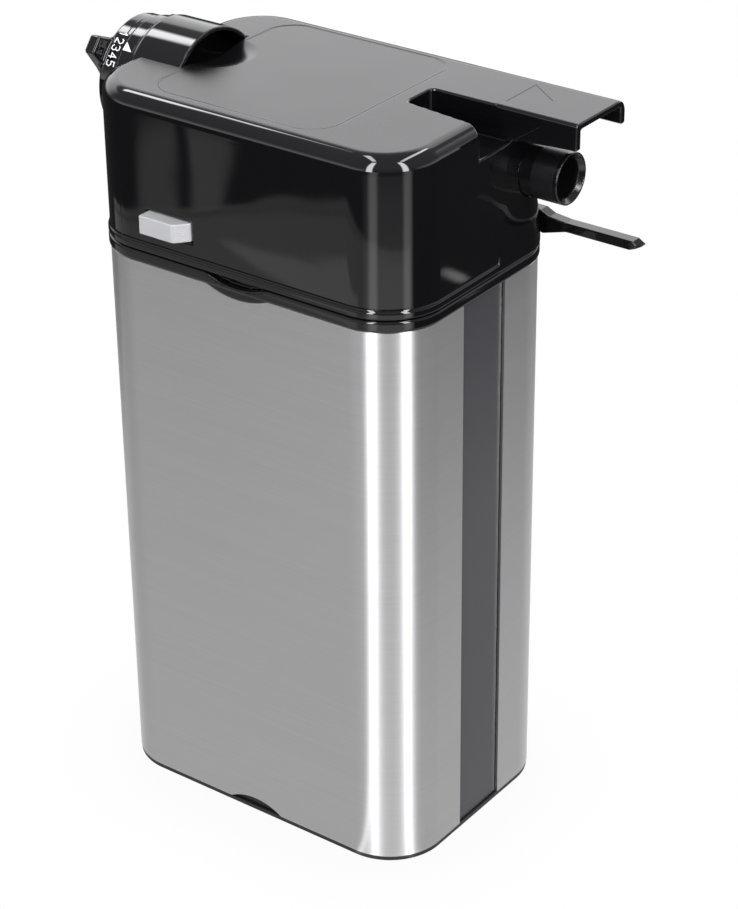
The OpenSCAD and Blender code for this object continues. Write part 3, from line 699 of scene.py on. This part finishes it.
def f_nozzle(x, y, z):
    rad = np.hypot(y - 22.7, z - 182)
    a = rmax(rad - 6.8, np.abs(x - 41.1) - 18.9, 0.35)
    a = np.minimum(a, rmax(rad - 5.3, np.abs(x - 18.2) - 4.1, 0.2))
    bore = np.maximum(rad - 5.2, 38 - x)
    mouth = (rad - (5.2 + (x - 58.6) * 0.85)) * 0.76
    a = rmax(a, -np.minimum(bore, np.maximum(mouth, 57 - x)), 0.12)
    a = np.maximum(a, -np.maximum(rad - 4.2, np.abs(x - 37.75) - 1.25))
    a = np.maximum(a, -np.maximum(rad - 2, np.abs(x - 28.5) - 10.5))
    return a


sdf_piece("steam_nozzle_moulding", f_nozzle, (14, 15.8, 175.1), (60.1, 29.6, 188.9), 0.32, "head", M["nozzle"], ("steam_nozzle",), eps=0.04)


def f_arm(x, y, z):
    ax = np.hypot(x - 12, z - 176)
    a = rmax(ax - 6, np.abs(y - 41.6) - 8.4, 0.3)
    a = np.minimum(a, rmax(ax - 4.45, np.abs(y - 30.9) - 2.6, 0.2))
    a = smin(a, rmax(ax - 7.5, np.abs(y - 35.825) - 0.775, 0.4), 0.5)
    up = rmax(np.hypot(x - 12, y - 50) - 7.4, 158 - z, 0.6)
    up = np.maximum(up, z - 180)
    dome = np.maximum(np.sqrt((x - 12) ** 2 + (y - 50) ** 2 + (z - 180) ** 2) - 7.4, 179.9 - z)
    up = np.minimum(up, dome)
    a = smin(a, up, 1.6)
    a = np.maximum(a, -np.maximum(ax - 3.4, y - 50))
    return rmax(a, -np.maximum(np.hypot(x - 12, y - 50) - 4.68, z - 178), 0.3)


sdf_piece("spout_arm_moulding", f_arm, (4.5, 28.2, 158), (19.5, 57.5, 187.5), 0.4, "head", M["gloss"], ("spout_arm",), eps=0.05)


def f_spout(x, y, z):
    rad = np.hypot(x - 12, y - 50)
    r0 = 4.6 - 0.8 * np.clip((136 - z) / 2, 0, 1)
    a = rmax(rad - r0, np.abs(z - 155.5) - 21.5, 0.35)
    fl = rmax(rad - 6.2, np.abs(z - 141) - 1.0, 0.45)
    a = smin(a, fl, 0.6)
    return rmax(a, -(rad - 3.2), 0.25)


sdf_piece("spout_tube_moulding", f_spout, (5.6, 43.6, 133.9), (18.4, 56.4, 177.1), 0.35, "spout", M["satin"], ("spout_tube",), eps=0.04)


def f_prong(x, y, z):
    side = poly(x, z, [(40, 162.95), (47.2, 161.4), (54, 163.4), (72.7, 163.4), (75.7, 164.6), (73.5, 165.9), (54, 165.9), (49, 166.4), (46.4, 167.6), (40, 167.6)])
    a = rmax(side, np.abs(y - 31.75) - 1.75, 0.3)
    # lead-in on the near side of the tip
    nx_, ny_ = cos(math.radians(38)), -sin(math.radians(38))
    a = rmax(a, (x - 75.7) * nx_ + (y - 31.576) * ny_, 0.15)
    a = np.maximum(a, -(rr(x, y, 100.96, 70.56, 16.33) if True else 0))
    root = bx(x, y, z, 40.5, 50.6, 30.2, 32.6, 163.8, 165.7, 0.1)
    return np.minimum(a, root)


sdf_piece("docking_prong_moulding", f_prong, (40.4, 29.9, 161.3), (76.6, 33.6, 167.7), 0.25, "head", M["gloss_flat"], ("docking_prong",), eps=0.03)

BTN = [(-28.2, -29), (-28.2, -38.5), (-17.9, -38.5), (-17.0, -38.2), (-14.2, -34.9), (-14.2, -29)]


def f_button(x, y, z):
    a = rmax(poly(x, y, BTN), np.abs(z - 169.5) - 2.5, 0.35)
    a = rmax(a, np.abs(x + 21.2) - 7.0, 0.35)
    # fine grip ribs on the slanted end
    d = (x + 14.2) * 0.0 + (y + 34.9) * 0.0
    onbevel = sstep(-17.2, -16.6, x) * sstep(-34.7, -35.2, y) * (1 - sstep(1.9, 2.2, np.abs(z - 169.5)))
    a = a + 0.07 * onbevel * (0.5 + 0.5 * np.cos((z - 167.0) * 2 * pi / 0.6)) + d
    return rmax(a, -bx(x, y, z, -25, -18, -35, -25, 168, 171), 0.1)


sdf_piece("near_release_button_cap", f_button, (-28.3, -38.6, 166.9), (-14.1, -28.9, 172.1), 0.22, "near_release", M["button"], ("near_release_button",), eps=0.03)
sdf_piece("far_release_button_cap", lambda x, y, z: f_button(x, -y, z), (-28.3, 28.9, 166.9), (-14.1, 38.6, 172.1), 0.22, "far_release", M["button"], ("far_release_button",), eps=0.03)


def f_strip(x, y, z):
    a = bx(x, y, z, 47.9, 49.3, -8.85, 8.85, 1.3, 156.9, 0.25)
    return a


def slab_strip():
    """The spine strip as one rounded bar, crowned a little across its width."""
    y0, z0, z1, r = 8.85, 1.3, 156.9, 0.3
    ys = [-y0, -y0 + r * 0.3, -y0 + r] + [(-y0 + r) * k / 6 for k in range(5, -6, -1)] + [y0 - r, y0 - r * 0.3, y0]
    zs = [z0, z0 + r * 0.3, z0 + r, z0 + 1.0, z1 - 1.0, z1 - r, z1 - r * 0.3, z1]
    xf = 49.3
    bm = bmesh.new()
    rows = []
    for z in zs:
        row = []
        for y in ys:
            dy, dz = max(0, abs(y) - (y0 - r)), max(0, z0 + r - z, z - (z1 - r))
            d = min(1.0, math.hypot(dy, dz) / r)
            x = xf - r * (1 - math.sqrt(max(0.0, 1 - d * d))) - 0.05 * (y / y0) ** 2
            row.append(bm.verts.new((x / 1000, y / 1000, z / 1000)))
        rows.append(row)
    for i in range(len(zs) - 1):
        for j in range(len(ys) - 1):
            bm.faces.new((rows[i][j], rows[i][j + 1], rows[i + 1][j + 1], rows[i + 1][j]))
    edge = [rows[0][j] for j in range(len(ys))] + [rows[i][-1] for i in range(1, len(zs))] + [rows[-1][j] for j in range(len(ys) - 2, -1, -1)] + [rows[i][0] for i in range(len(zs) - 2, 0, -1)]
    back = [bm.verts.new((0.0479, v.co.y, v.co.z)) for v in edge]
    for i in range(len(edge)):
        j = (i + 1) % len(edge)
        bm.faces.new((edge[i], back[i], back[j], edge[j]))
    bm.faces.new(back)
    bmesh.ops.recalc_face_normals(bm, faces=bm.faces)
    for e in bm.edges:
        if len(e.link_faces) == 2 and e.calc_face_angle() > math.radians(38):
            e.smooth = False
    for f in bm.faces:
        f.smooth = True
    me = bpy.data.meshes.new("spine_strip_bar")
    bm.to_mesh(me)
    bm.free()
    o = bpy.data.objects.new("spine_strip_bar", me)
    bpy.context.scene.collection.objects.link(o)
    me.materials.append(M["strip"])
    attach(o, "jug")
    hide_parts("spine_strip")


slab_strip()

# ------------------------------------------------------------------ springs


def spring(name, sgn, body_node):
    """Ground coil spring; its end turns close up. The real spring shortens as the button goes in; this mesh is built
    at one length.
    """
    r, wire, y0, y1, turns, steps, sides = 1.45, 0.28, -26.9, -16.8, 6.0, 30, 10
    n = int(turns * steps)
    V, F = [], []
    for i in range(n + 1):
        t = i / steps
        u = t / turns
        # pitch is tight over the first and last three quarters of a turn
        e = 0.75 / turns
        ramp = (u * 0.25 if u < e else (e * 0.25 + (u - e) * (1 - 0.5 * e) / (1 - 2 * e) if u < 1 - e else 1 - (1 - u) * 0.25))
        yc = y0 + wire + (y1 - y0 - 2 * wire) * ramp
        a = 2 * pi * t
        for k in range(sides):
            b = 2 * pi * k / sides
            q = r + wire * cos(b)
            V.append((-21.5 + q * cos(a), sgn * -(yc + wire * sin(b)) * -1.0, 169.5 + q * sin(a)))
    for i in range(n):
        for k in range(sides):
            a, b = i * sides + k, i * sides + (k + 1) % sides
            F.append([a, b, b + sides, a + sides] if sgn > 0 else [a, a + sides, b + sides, b])
    F.append([k for k in range(sides)][:: -1 if sgn > 0 else 1])
    F.append([n * sides + k for k in range(sides)][:: 1 if sgn > 0 else -1])
    o = add_mesh(name, V, F, "head", M["spring"], (body_node,))
    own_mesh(o)


spring("near_spring_coil", 1, "near_spring")
spring("far_spring_coil", -1, "far_spring")

# ------------------------------------------------------------------ printed marks


def cyl_patch(name, shapes, R, body, material, lift=0.05):
    """Flat shapes (x in mm along the dial's axis, angle in mm of arc) laid on a cylinder about that axis."""
    bm = bmesh.new()
    for pts in shapes:
        # subdivide long edges so that the shape follows the curve
        fine = []
        for i in range(len(pts)):
            a, b = pts[i], pts[(i + 1) % len(pts)]
            k = max(1, int(math.hypot(b[0] - a[0], b[1] - a[1]) / 0.4))
            fine += [(a[0] + (b[0] - a[0]) * j / k, a[1] + (b[1] - a[1]) * j / k) for j in range(k)]
        top = []
        for (x, s) in fine:
            t = s / R
            top.append(bm.verts.new((x / 1000, -(R + lift) * sin(t) / 1000, (190.5 + (R + lift) * cos(t)) / 1000)))
        bm.faces.new(top)
    bmesh.ops.triangulate(bm, faces=bm.faces)
    ret = bmesh.ops.extrude_face_region(bm, geom=list(bm.faces))
    for g in ret["geom"]:
        if isinstance(g, bmesh.types.BMVert):
            y, z = g.co.y, g.co.z - 0.1905
            k = (R - 0.04) / (R + lift)
            g.co.y, g.co.z = y * k, 0.1905 + z * k
    bmesh.ops.recalc_face_normals(bm, faces=bm.faces)
    me = bpy.data.meshes.new(name)
    bm.to_mesh(me)
    bm.free()
    o = bpy.data.objects.new(name, me)
    bpy.context.scene.collection.objects.link(o)
    me.materials.append(material)
    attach(o, body)
    return o


deg = pi / 180
# index triangle on the collar behind the dial; its tip points round towards the top
R2 = 16.5
cyl_patch("index_triangle", [[(-53.9, 38.6 * deg * R2), (-54.1, 47.0 * deg * R2), (-51.2, 47.0 * deg * R2)]], R2, "head", M["mark"])

# numerals 1 to 5 on the rim, as strokes on a 2 x 3.2 mm cell, with a tick beside each
STROKES = {
    1: [[(0.35, 0.9), (1.0, 0.0), (1.0, 3.2)]],
    2: [[(0, 0.6), (0.5, 0.0), (1.5, 0.0), (2, 0.6), (2, 1.2), (0, 3.2), (2, 3.2)]],
    3: [[(0, 0.3), (0.5, 0.0), (1.5, 0.0), (2, 0.6), (1.6, 1.5), (0.9, 1.5)], [(1.6, 1.5), (2, 2.3), (1.6, 3.2), (0.4, 3.2), (0, 2.8)]],
    4: [[(1.5, 3.2), (1.5, 0), (0, 2.2), (2.0, 2.2)]],
    5: [[(1.9, 0), (0.2, 0), (0.1, 1.4), (1.3, 1.3), (2, 2.0), (1.7, 3.0), (0.8, 3.2), (0, 2.9)]],
}


def stroke_quads(pts, w):
    out = []
    for a, b in zip(pts[:-1], pts[1:]):
        dx, dy = b[0] - a[0], b[1] - a[1]
        ln = math.hypot(dx, dy)
        ux, uy = dx / ln, dy / ln
        ex, ey = ux * w * 0.42, uy * w * 0.42
        px, py = -uy * w / 2, ux * w / 2
        out.append([(a[0] - ex + px, a[1] - ey + py), (b[0] + ex + px, b[1] + ey + py), (b[0] + ex - px, b[1] + ey - py), (a[0] - ex - px, a[1] - ey - py)])
    return out


marks = []
for i, dig in enumerate((1, 2, 3, 4, 5)):
    centre = (31.0 + 7.6 * i) * deg * 16.0
    for st in STROKES[dig]:
        for q in stroke_quads(st, 0.40):
            # a numeral's top is towards the hood; the row reads round the rim
            marks.append([(-55.6 - p[1] * 0.76, centre + (p[0] - 1.0) * 0.66) for p in q])
cyl_patch("rim_numerals", marks, 16.0, "dial", M["mark"])


def ribbon(name, pts, w, z, body, material, closed=True, h=0.03):
    """A thin line drawn on a level face, with mitred corners."""
    bm = bmesh.new()
    n = len(pts)
    outer, inner = [], []
    for i in range(n):
        p0, p1, p2 = Vector(pts[i - 1]), Vector(pts[i]), Vector(pts[(i + 1) % n])
        if not closed and i == 0:
            p0 = p1 * 2 - p2
        if not closed and i == n - 1:
            p2 = p1 * 2 - p0
        d1, d2 = (p1 - p0).normalized(), (p2 - p1).normalized()
        n1, n2 = Vector((-d1.y, d1.x)), Vector((-d2.y, d2.x))
        m = (n1 + n2).normalized()
        k = w / 2 / max(0.3, m.dot(n1))
        outer.append(p1 + m * k)
        inner.append(p1 - m * k)
    def ring(ps, zz):
        return [bm.verts.new((p.x / 1000, p.y / 1000, zz / 1000)) for p in ps]
    a, b, c, d = ring(outer, z + h), ring(inner, z + h), ring(outer, z - 0.02), ring(inner, z - 0.02)
    for i in range(n if closed else n - 1):
        j = (i + 1) % n
        for q in ((a[i], a[j], b[j], b[i]), (a[j], a[i], c[i], c[j]), (b[i], b[j], d[j], d[i]), (c[i], d[i], d[j], c[j])):
            bm.faces.new(q)
    if not closed:
        bm.faces.new((a[0], b[0], d[0], c[0]))
        bm.faces.new((a[-1], c[-1], d[-1], b[-1]))
    bmesh.ops.recalc_face_normals(bm, faces=bm.faces)
    me = bpy.data.meshes.new(name)
    bm.to_mesh(me)
    bm.free()
    o = bpy.data.objects.new(name, me)
    bpy.context.scene.collection.objects.link(o)
    me.materials.append(material)
    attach(o, body)
    return o


ribbon("rail_arrow_line", [(46.0, 14.2), (46.0, 27.4), (55.2, 20.8)], 0.3, 202.0, "head", M["groove"], closed=False)


def corner(cx, cy, r, a0, a1, k=10):
    return [(cx + r * cos(math.radians(a0 + (a1 - a0) * i / k)), cy + r * sin(math.radians(a0 + (a1 - a0) * i / k))) for i in range(k + 1)]


# seam round the shallow panel in the top
ribbon("panel_seam_end", [(21.8, 27.6)] + corner(13.8, -20.6, 8.0, 0, -60), 0.26, 201.96, "head", M["groove"], closed=False)
ribbon("panel_seam_side", corner(13.8, -20.6, 8.0, -60, -90) + [(-24.5, -28.6)] + corner(-24.5, -20.6, 8.0, -90, -150), 0.15, 201.96, "head", M["groove"], closed=False)

# ------------------------------------------------------------------ materials of the carried-over CAD nodes

CAD = {
    "jug_shell": "dark", "jug_liner": "clear", "base_cover": "base", "base_screws": "screw", "head_floor": "dark",
    "head_gasket": "silicone", "floor_screws": "screw", "milk_tube": "tube", "tube_grommet": "silicone", "milk_duct": "white",
    "frother_body": "dark", "nozzle_seal": "seal", "spout_ring": "silicone", "regulator_plug": "white", "plug_seals": "seal",
    "near_latch": "dark", "far_latch": "dark",
}
for name, key in CAD.items():
    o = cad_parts[name]
    o.data.materials.clear()
    o.data.materials.append(M[key])
for name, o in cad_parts.items():
    if name not in CAD and not o.hide_render:
        print("CAD node without a new material:", name)

# ------------------------------------------------------------------ stage: floor, studio light, camera


def softbox(n, x, y, el, centre, half, e0, e1, sa, se, strength):
    """A soft-edged panel of light seen in one direction; angles in degrees, azimuth 0 is -Y and 90 is +X."""
    c = math.radians(centre)
    s = n.math("ADD", n.math("MULTIPLY", x, cos(c)), n.math("MULTIPLY", y, sin(c)))
    k = n.math("ADD", n.math("MULTIPLY", x, sin(c)), n.math("MULTIPLY", y, -cos(c)))
    az = n.math("ABSOLUTE", n.math("ARCTAN2", s, k))
    h, sa, se = math.radians(half), math.radians(sa), math.radians(se)
    w = n.smooth(az, h - sa, h + sa, 1.0, 0.0)
    up = n.smooth(el, math.radians(e0) - se, math.radians(e0) + se, 0.0, 1.0)
    dn = n.smooth(el, math.radians(e1) - se, math.radians(e1) + se, 1.0, 0.0)
    return n.math("MULTIPLY", n.math("MULTIPLY", w, n.math("MULTIPLY", up, dn)), strength)


world = bpy.data.worlds.new("studio")
bpy.context.scene.world = world
world.use_nodes = True
n = Nodes(world.node_tree)
tc = n.new("ShaderNodeTexCoord").outputs["Generated"]
sep = n.new("ShaderNodeSeparateXYZ")
n.link(tc, sep.inputs[0])
x, y, z = sep.outputs
el = n.math("ARCSINE", z)
total = n.smooth(el, -0.3, 0.5, 0.16, 0.42)
for args in (
    # backdrop over the far side, lighting every level face
    (215, 62, 4, 34, 16, 3, 1.85),
    (192, 13, 31, 46, 5, 3, 1.5),
    # long strip high on the user's side
    (-106, 9, 44, 52, 4, 1.5, 13.0),
    # two tall boxes either side of the camera
    (8.6, 5.0, -8, 57, 1.6, 3, 15.0),
    (69.3, 5.0, -8, 57, 1.6, 3, 15.0),
    # wide fill on the user's side and behind the machine end
    (-30, 30, -20, 8, 16, 8, 1.5),
    (128, 34, -20, 8, 14, 8, 1.15),
):
    total = n.math("ADD", total, softbox(n, x, y, el, *args))
# two straight tubes of light overhead, crossing the view from left to right
zz = n.math("MAXIMUM", z, 0.02)
across = n.math("DIVIDE", n.math("ADD", n.math("MULTIPLY", x, 0.83), n.math("MULTIPLY", y, 0.56)), zz)
along = n.math("DIVIDE", n.math("ADD", n.math("MULTIPLY", x, 0.56), n.math("MULTIPLY", y, -0.83)), zz)
for w0, half, u0, u1, strength in ((0.41, 0.06, -0.93, 0.42, 11.0), (-0.245, 0.05, -0.35, 0.40, 11.0)):
    off = n.math("ABSOLUTE", n.math("SUBTRACT", across, w0))
    tube = n.math("MULTIPLY", n.smooth(off, half - 0.015, half + 0.015, strength, 0.0), n.smooth(along, u0 - 0.03, u0 + 0.03))
    tube = n.math("MULTIPLY", tube, n.smooth(along, u1 - 0.03, u1 + 0.03, 1.0, 0.0))
    total = n.math("ADD", total, n.math("MULTIPLY", tube, n.smooth(z, 0.1, 0.2)))
bg_env = n.new("ShaderNodeBackground")
bg_env.inputs[0].default_value = (0.985, 0.985, 1.0, 1)
n.link(total, bg_env.inputs[1])
bg_cam = n.new("ShaderNodeBackground")
bg_cam.inputs[0].default_value = (1, 1, 1, 1)
lp = n.new("ShaderNodeLightPath")
mix = n.new("ShaderNodeMixShader")
n.link(lp.outputs["Is Camera Ray"], mix.inputs[0])
n.link(bg_env.outputs[0], mix.inputs[1])
n.link(bg_cam.outputs[0], mix.inputs[2])
out = n.new("ShaderNodeOutputWorld")
n.link(mix.outputs[0], out.inputs[0])

fm, n = mat("studio_floor")
geo = n.new("ShaderNodeNewGeometry")
sep = n.new("ShaderNodeSeparateXYZ")
n.link(geo.outputs["Position"], sep.inputs[0])
x, y, _ = sep.outputs
wob = n.math("MULTIPLY", n.math("SUBTRACT", n.noise(geo.outputs["Position"], 9.0, 2.0), 0.5), 0.012)
rad = n.math("ADD", n.math("SQRT", n.math("ADD", n.math("MULTIPLY", x, x), n.math("MULTIPLY", y, y))), wob)


def around(centre, ox=0.0, oy=0.0):
    """Angle from a heading, in radians, round a point of the floor; 0 is -Y and 90 is +X."""
    c = math.radians(centre)
    px, py = n.math("SUBTRACT", x, ox), n.math("SUBTRACT", y, oy)
    s = n.math("ADD", n.math("MULTIPLY", px, cos(c)), n.math("MULTIPLY", py, sin(c)))
    k = n.math("ADD", n.math("MULTIPLY", px, sin(c)), n.math("MULTIPLY", py, -cos(c)))
    return n.math("ABSOLUTE", n.math("ARCTAN2", s, k))


def sector(centre, half, soft, ox=0.0, oy=0.0):
    return n.smooth(around(centre, ox, oy), math.radians(half - soft), math.radians(half + soft), 1.0, 0.0)


# a pale table in front of the object, dark room beyond it
front = sector(-4, 80, 2.5)
table = n.math("ADD", n.math("MULTIPLY", front, n.smooth(rad, 0.4415, 0.4435, 0.49, 0.0)), n.math("MULTIPLY", n.math("SUBTRACT", 1.0, front), n.smooth(rad, 0.22, 0.34, 0.52, 0.0)))
# darker line just inside the table's edge, and the paler wedge on it
line = n.math("MULTIPLY", n.math("MULTIPLY", front, n.smooth(rad, 0.4325, 0.4335)), n.smooth(rad, 0.437, 0.438, -0.24, 0.0))
xw, yw = n.math("ADD", x, 0.2526), n.math("ADD", y, 0.3249)
s1 = n.math("ADD", yw, n.math("MULTIPLY", xw, 0.26))
s2 = n.math("SUBTRACT", n.math("MULTIPLY", xw, 0.4255), yw)
wedge = n.math("MULTIPLY", n.math("MULTIPLY", n.smooth(s1, 0.0, 0.002), n.smooth(s2, 0.0, 0.004)), 0.42)
wedge = n.math("MULTIPLY", n.math("MULTIPLY", wedge, sector(-30, 22, 3)), n.smooth(rad, 0.4325, 0.4335, 1.0, 0.0))
table = n.math("ADD", table, n.math("ADD", line, wedge))
em = n.math("ADD", table, 0.045)
# light fanning out from the jug's near corner, so that it stays upright in the rounding
cx_, cy_ = 0.0335, -0.022
glow = n.math("MULTIPLY", n.smooth(rad, 0.36, 0.62, 0.55, 0.05), n.smooth(rad, 0.20, 0.32, 0.5, 1.0))
em = n.math("ADD", em, n.math("MULTIPLY", sector(38, 38, 8, cx_, cy_), glow))
for centre, half, near, far, ox, oy in (
    (3.5, 3.0, 1.0, 0.0, cx_, cy_),
    (67.7, 3.0, 1.0, 0.0, cx_, cy_),
    (17.0, 6.5, 0.0, 1.3, 0.0, 0.0),
    (72.0, 6.5, 0.0, 1.3, 0.0, 0.0),
):
    em = n.math("ADD", em, n.math("MULTIPLY", sector(centre, half, 4.0, ox, oy), n.smooth(rad, 0.27, 0.33, near, far)))
# upright bands that show in the polished front, beyond the table's edge
for centre, half, strength in ((-40.9, 0.75, 0.42), (-38.3, 1.0, 0.50)):
    em = n.math("ADD", em, n.math("MULTIPLY", n.math("MULTIPLY", sector(centre, half, 0.2), n.smooth(rad, 0.437, 0.447)), n.smooth(rad, 0.50, 0.58, strength, 0.0)))
# faint patches low in the front and in the machine end
for (px, py), (sx, sy), st in (((0.2517, 0.278), (0.0060, 0.0040), 1.3),):
    ux, uy = n.math("DIVIDE", n.math("SUBTRACT", x, px), sx), n.math("DIVIDE", n.math("SUBTRACT", y, py), sy)
    q = n.math("ADD", n.math("MULTIPLY", ux, ux), n.math("MULTIPLY", uy, uy))
    em = n.math("ADD", em, n.math("MULTIPLY", n.smooth(q, 0.2, 1.6, 1.0, 0.0), st))
# painted contact shadow: for camera rays the white floor is darkened down to 0.93 by ambient occlusion close to the
# object
ao = n.new("ShaderNodeAmbientOcclusion", samples=16)
ao.inputs["Distance"].default_value = 0.035
floor_painted_contact_shadow = n.lin(ao.outputs["AO"], 0.0, 1.0, 0.93, 1.0)
lp = n.new("ShaderNodeLightPath")
strength = n.new("ShaderNodeMix", data_type="FLOAT")
n.link(lp.outputs["Is Camera Ray"], strength.inputs[0])
n.link(em, strength.inputs[2])
n.link(floor_painted_contact_shadow, strength.inputs[3])
e = n.new("ShaderNodeEmission")
e.inputs[0].default_value = (1, 1, 1, 1)
n.link(strength.outputs[0], e.inputs[1])
out = n.new("ShaderNodeOutputMaterial")
n.link(e.outputs[0], out.inputs[0])
fm.cycles.emission_sampling = "NONE"

me = bpy.data.meshes.new("floor")
S = 4.0
me.from_pydata([(-S, -S, -0.0002), (S, -S, -0.0002), (S, S, -0.0002), (-S, S, -0.0002)], [], [(0, 1, 2, 3)])
floor = bpy.data.objects.new("floor", me)
bpy.context.scene.collection.objects.link(floor)
me.materials.append(fm)

cam = bpy.data.cameras.new("camera")
cam.sensor_width, cam.sensor_fit, cam.lens = 36.0, "AUTO", 107.169
cam.clip_start, cam.clip_end = 0.01, 20
co = bpy.data.objects.new("camera", cam)
bpy.context.scene.collection.objects.link(co)
a, e_, ro = (math.radians(v) for v in (36.72, 28.927, -0.641))
back = Vector((sin(a) * cos(e_), -cos(a) * cos(e_), sin(e_)))
right = Vector((cos(a), sin(a), 0))
up = back.cross(right)
Rv = cos(ro) * right + sin(ro) * up
Uv = -sin(ro) * right + cos(ro) * up
mw = Matrix((Rv, Uv, back)).transposed().to_4x4()
mw.translation = Vector((0.386749, -0.499863, 0.444781))
co.matrix_world = mw
bpy.context.scene.camera = co
vs = bpy.context.scene.view_settings
vs.view_transform, vs.look, vs.exposure, vs.gamma = "Standard", "None", 0.0, 1.0
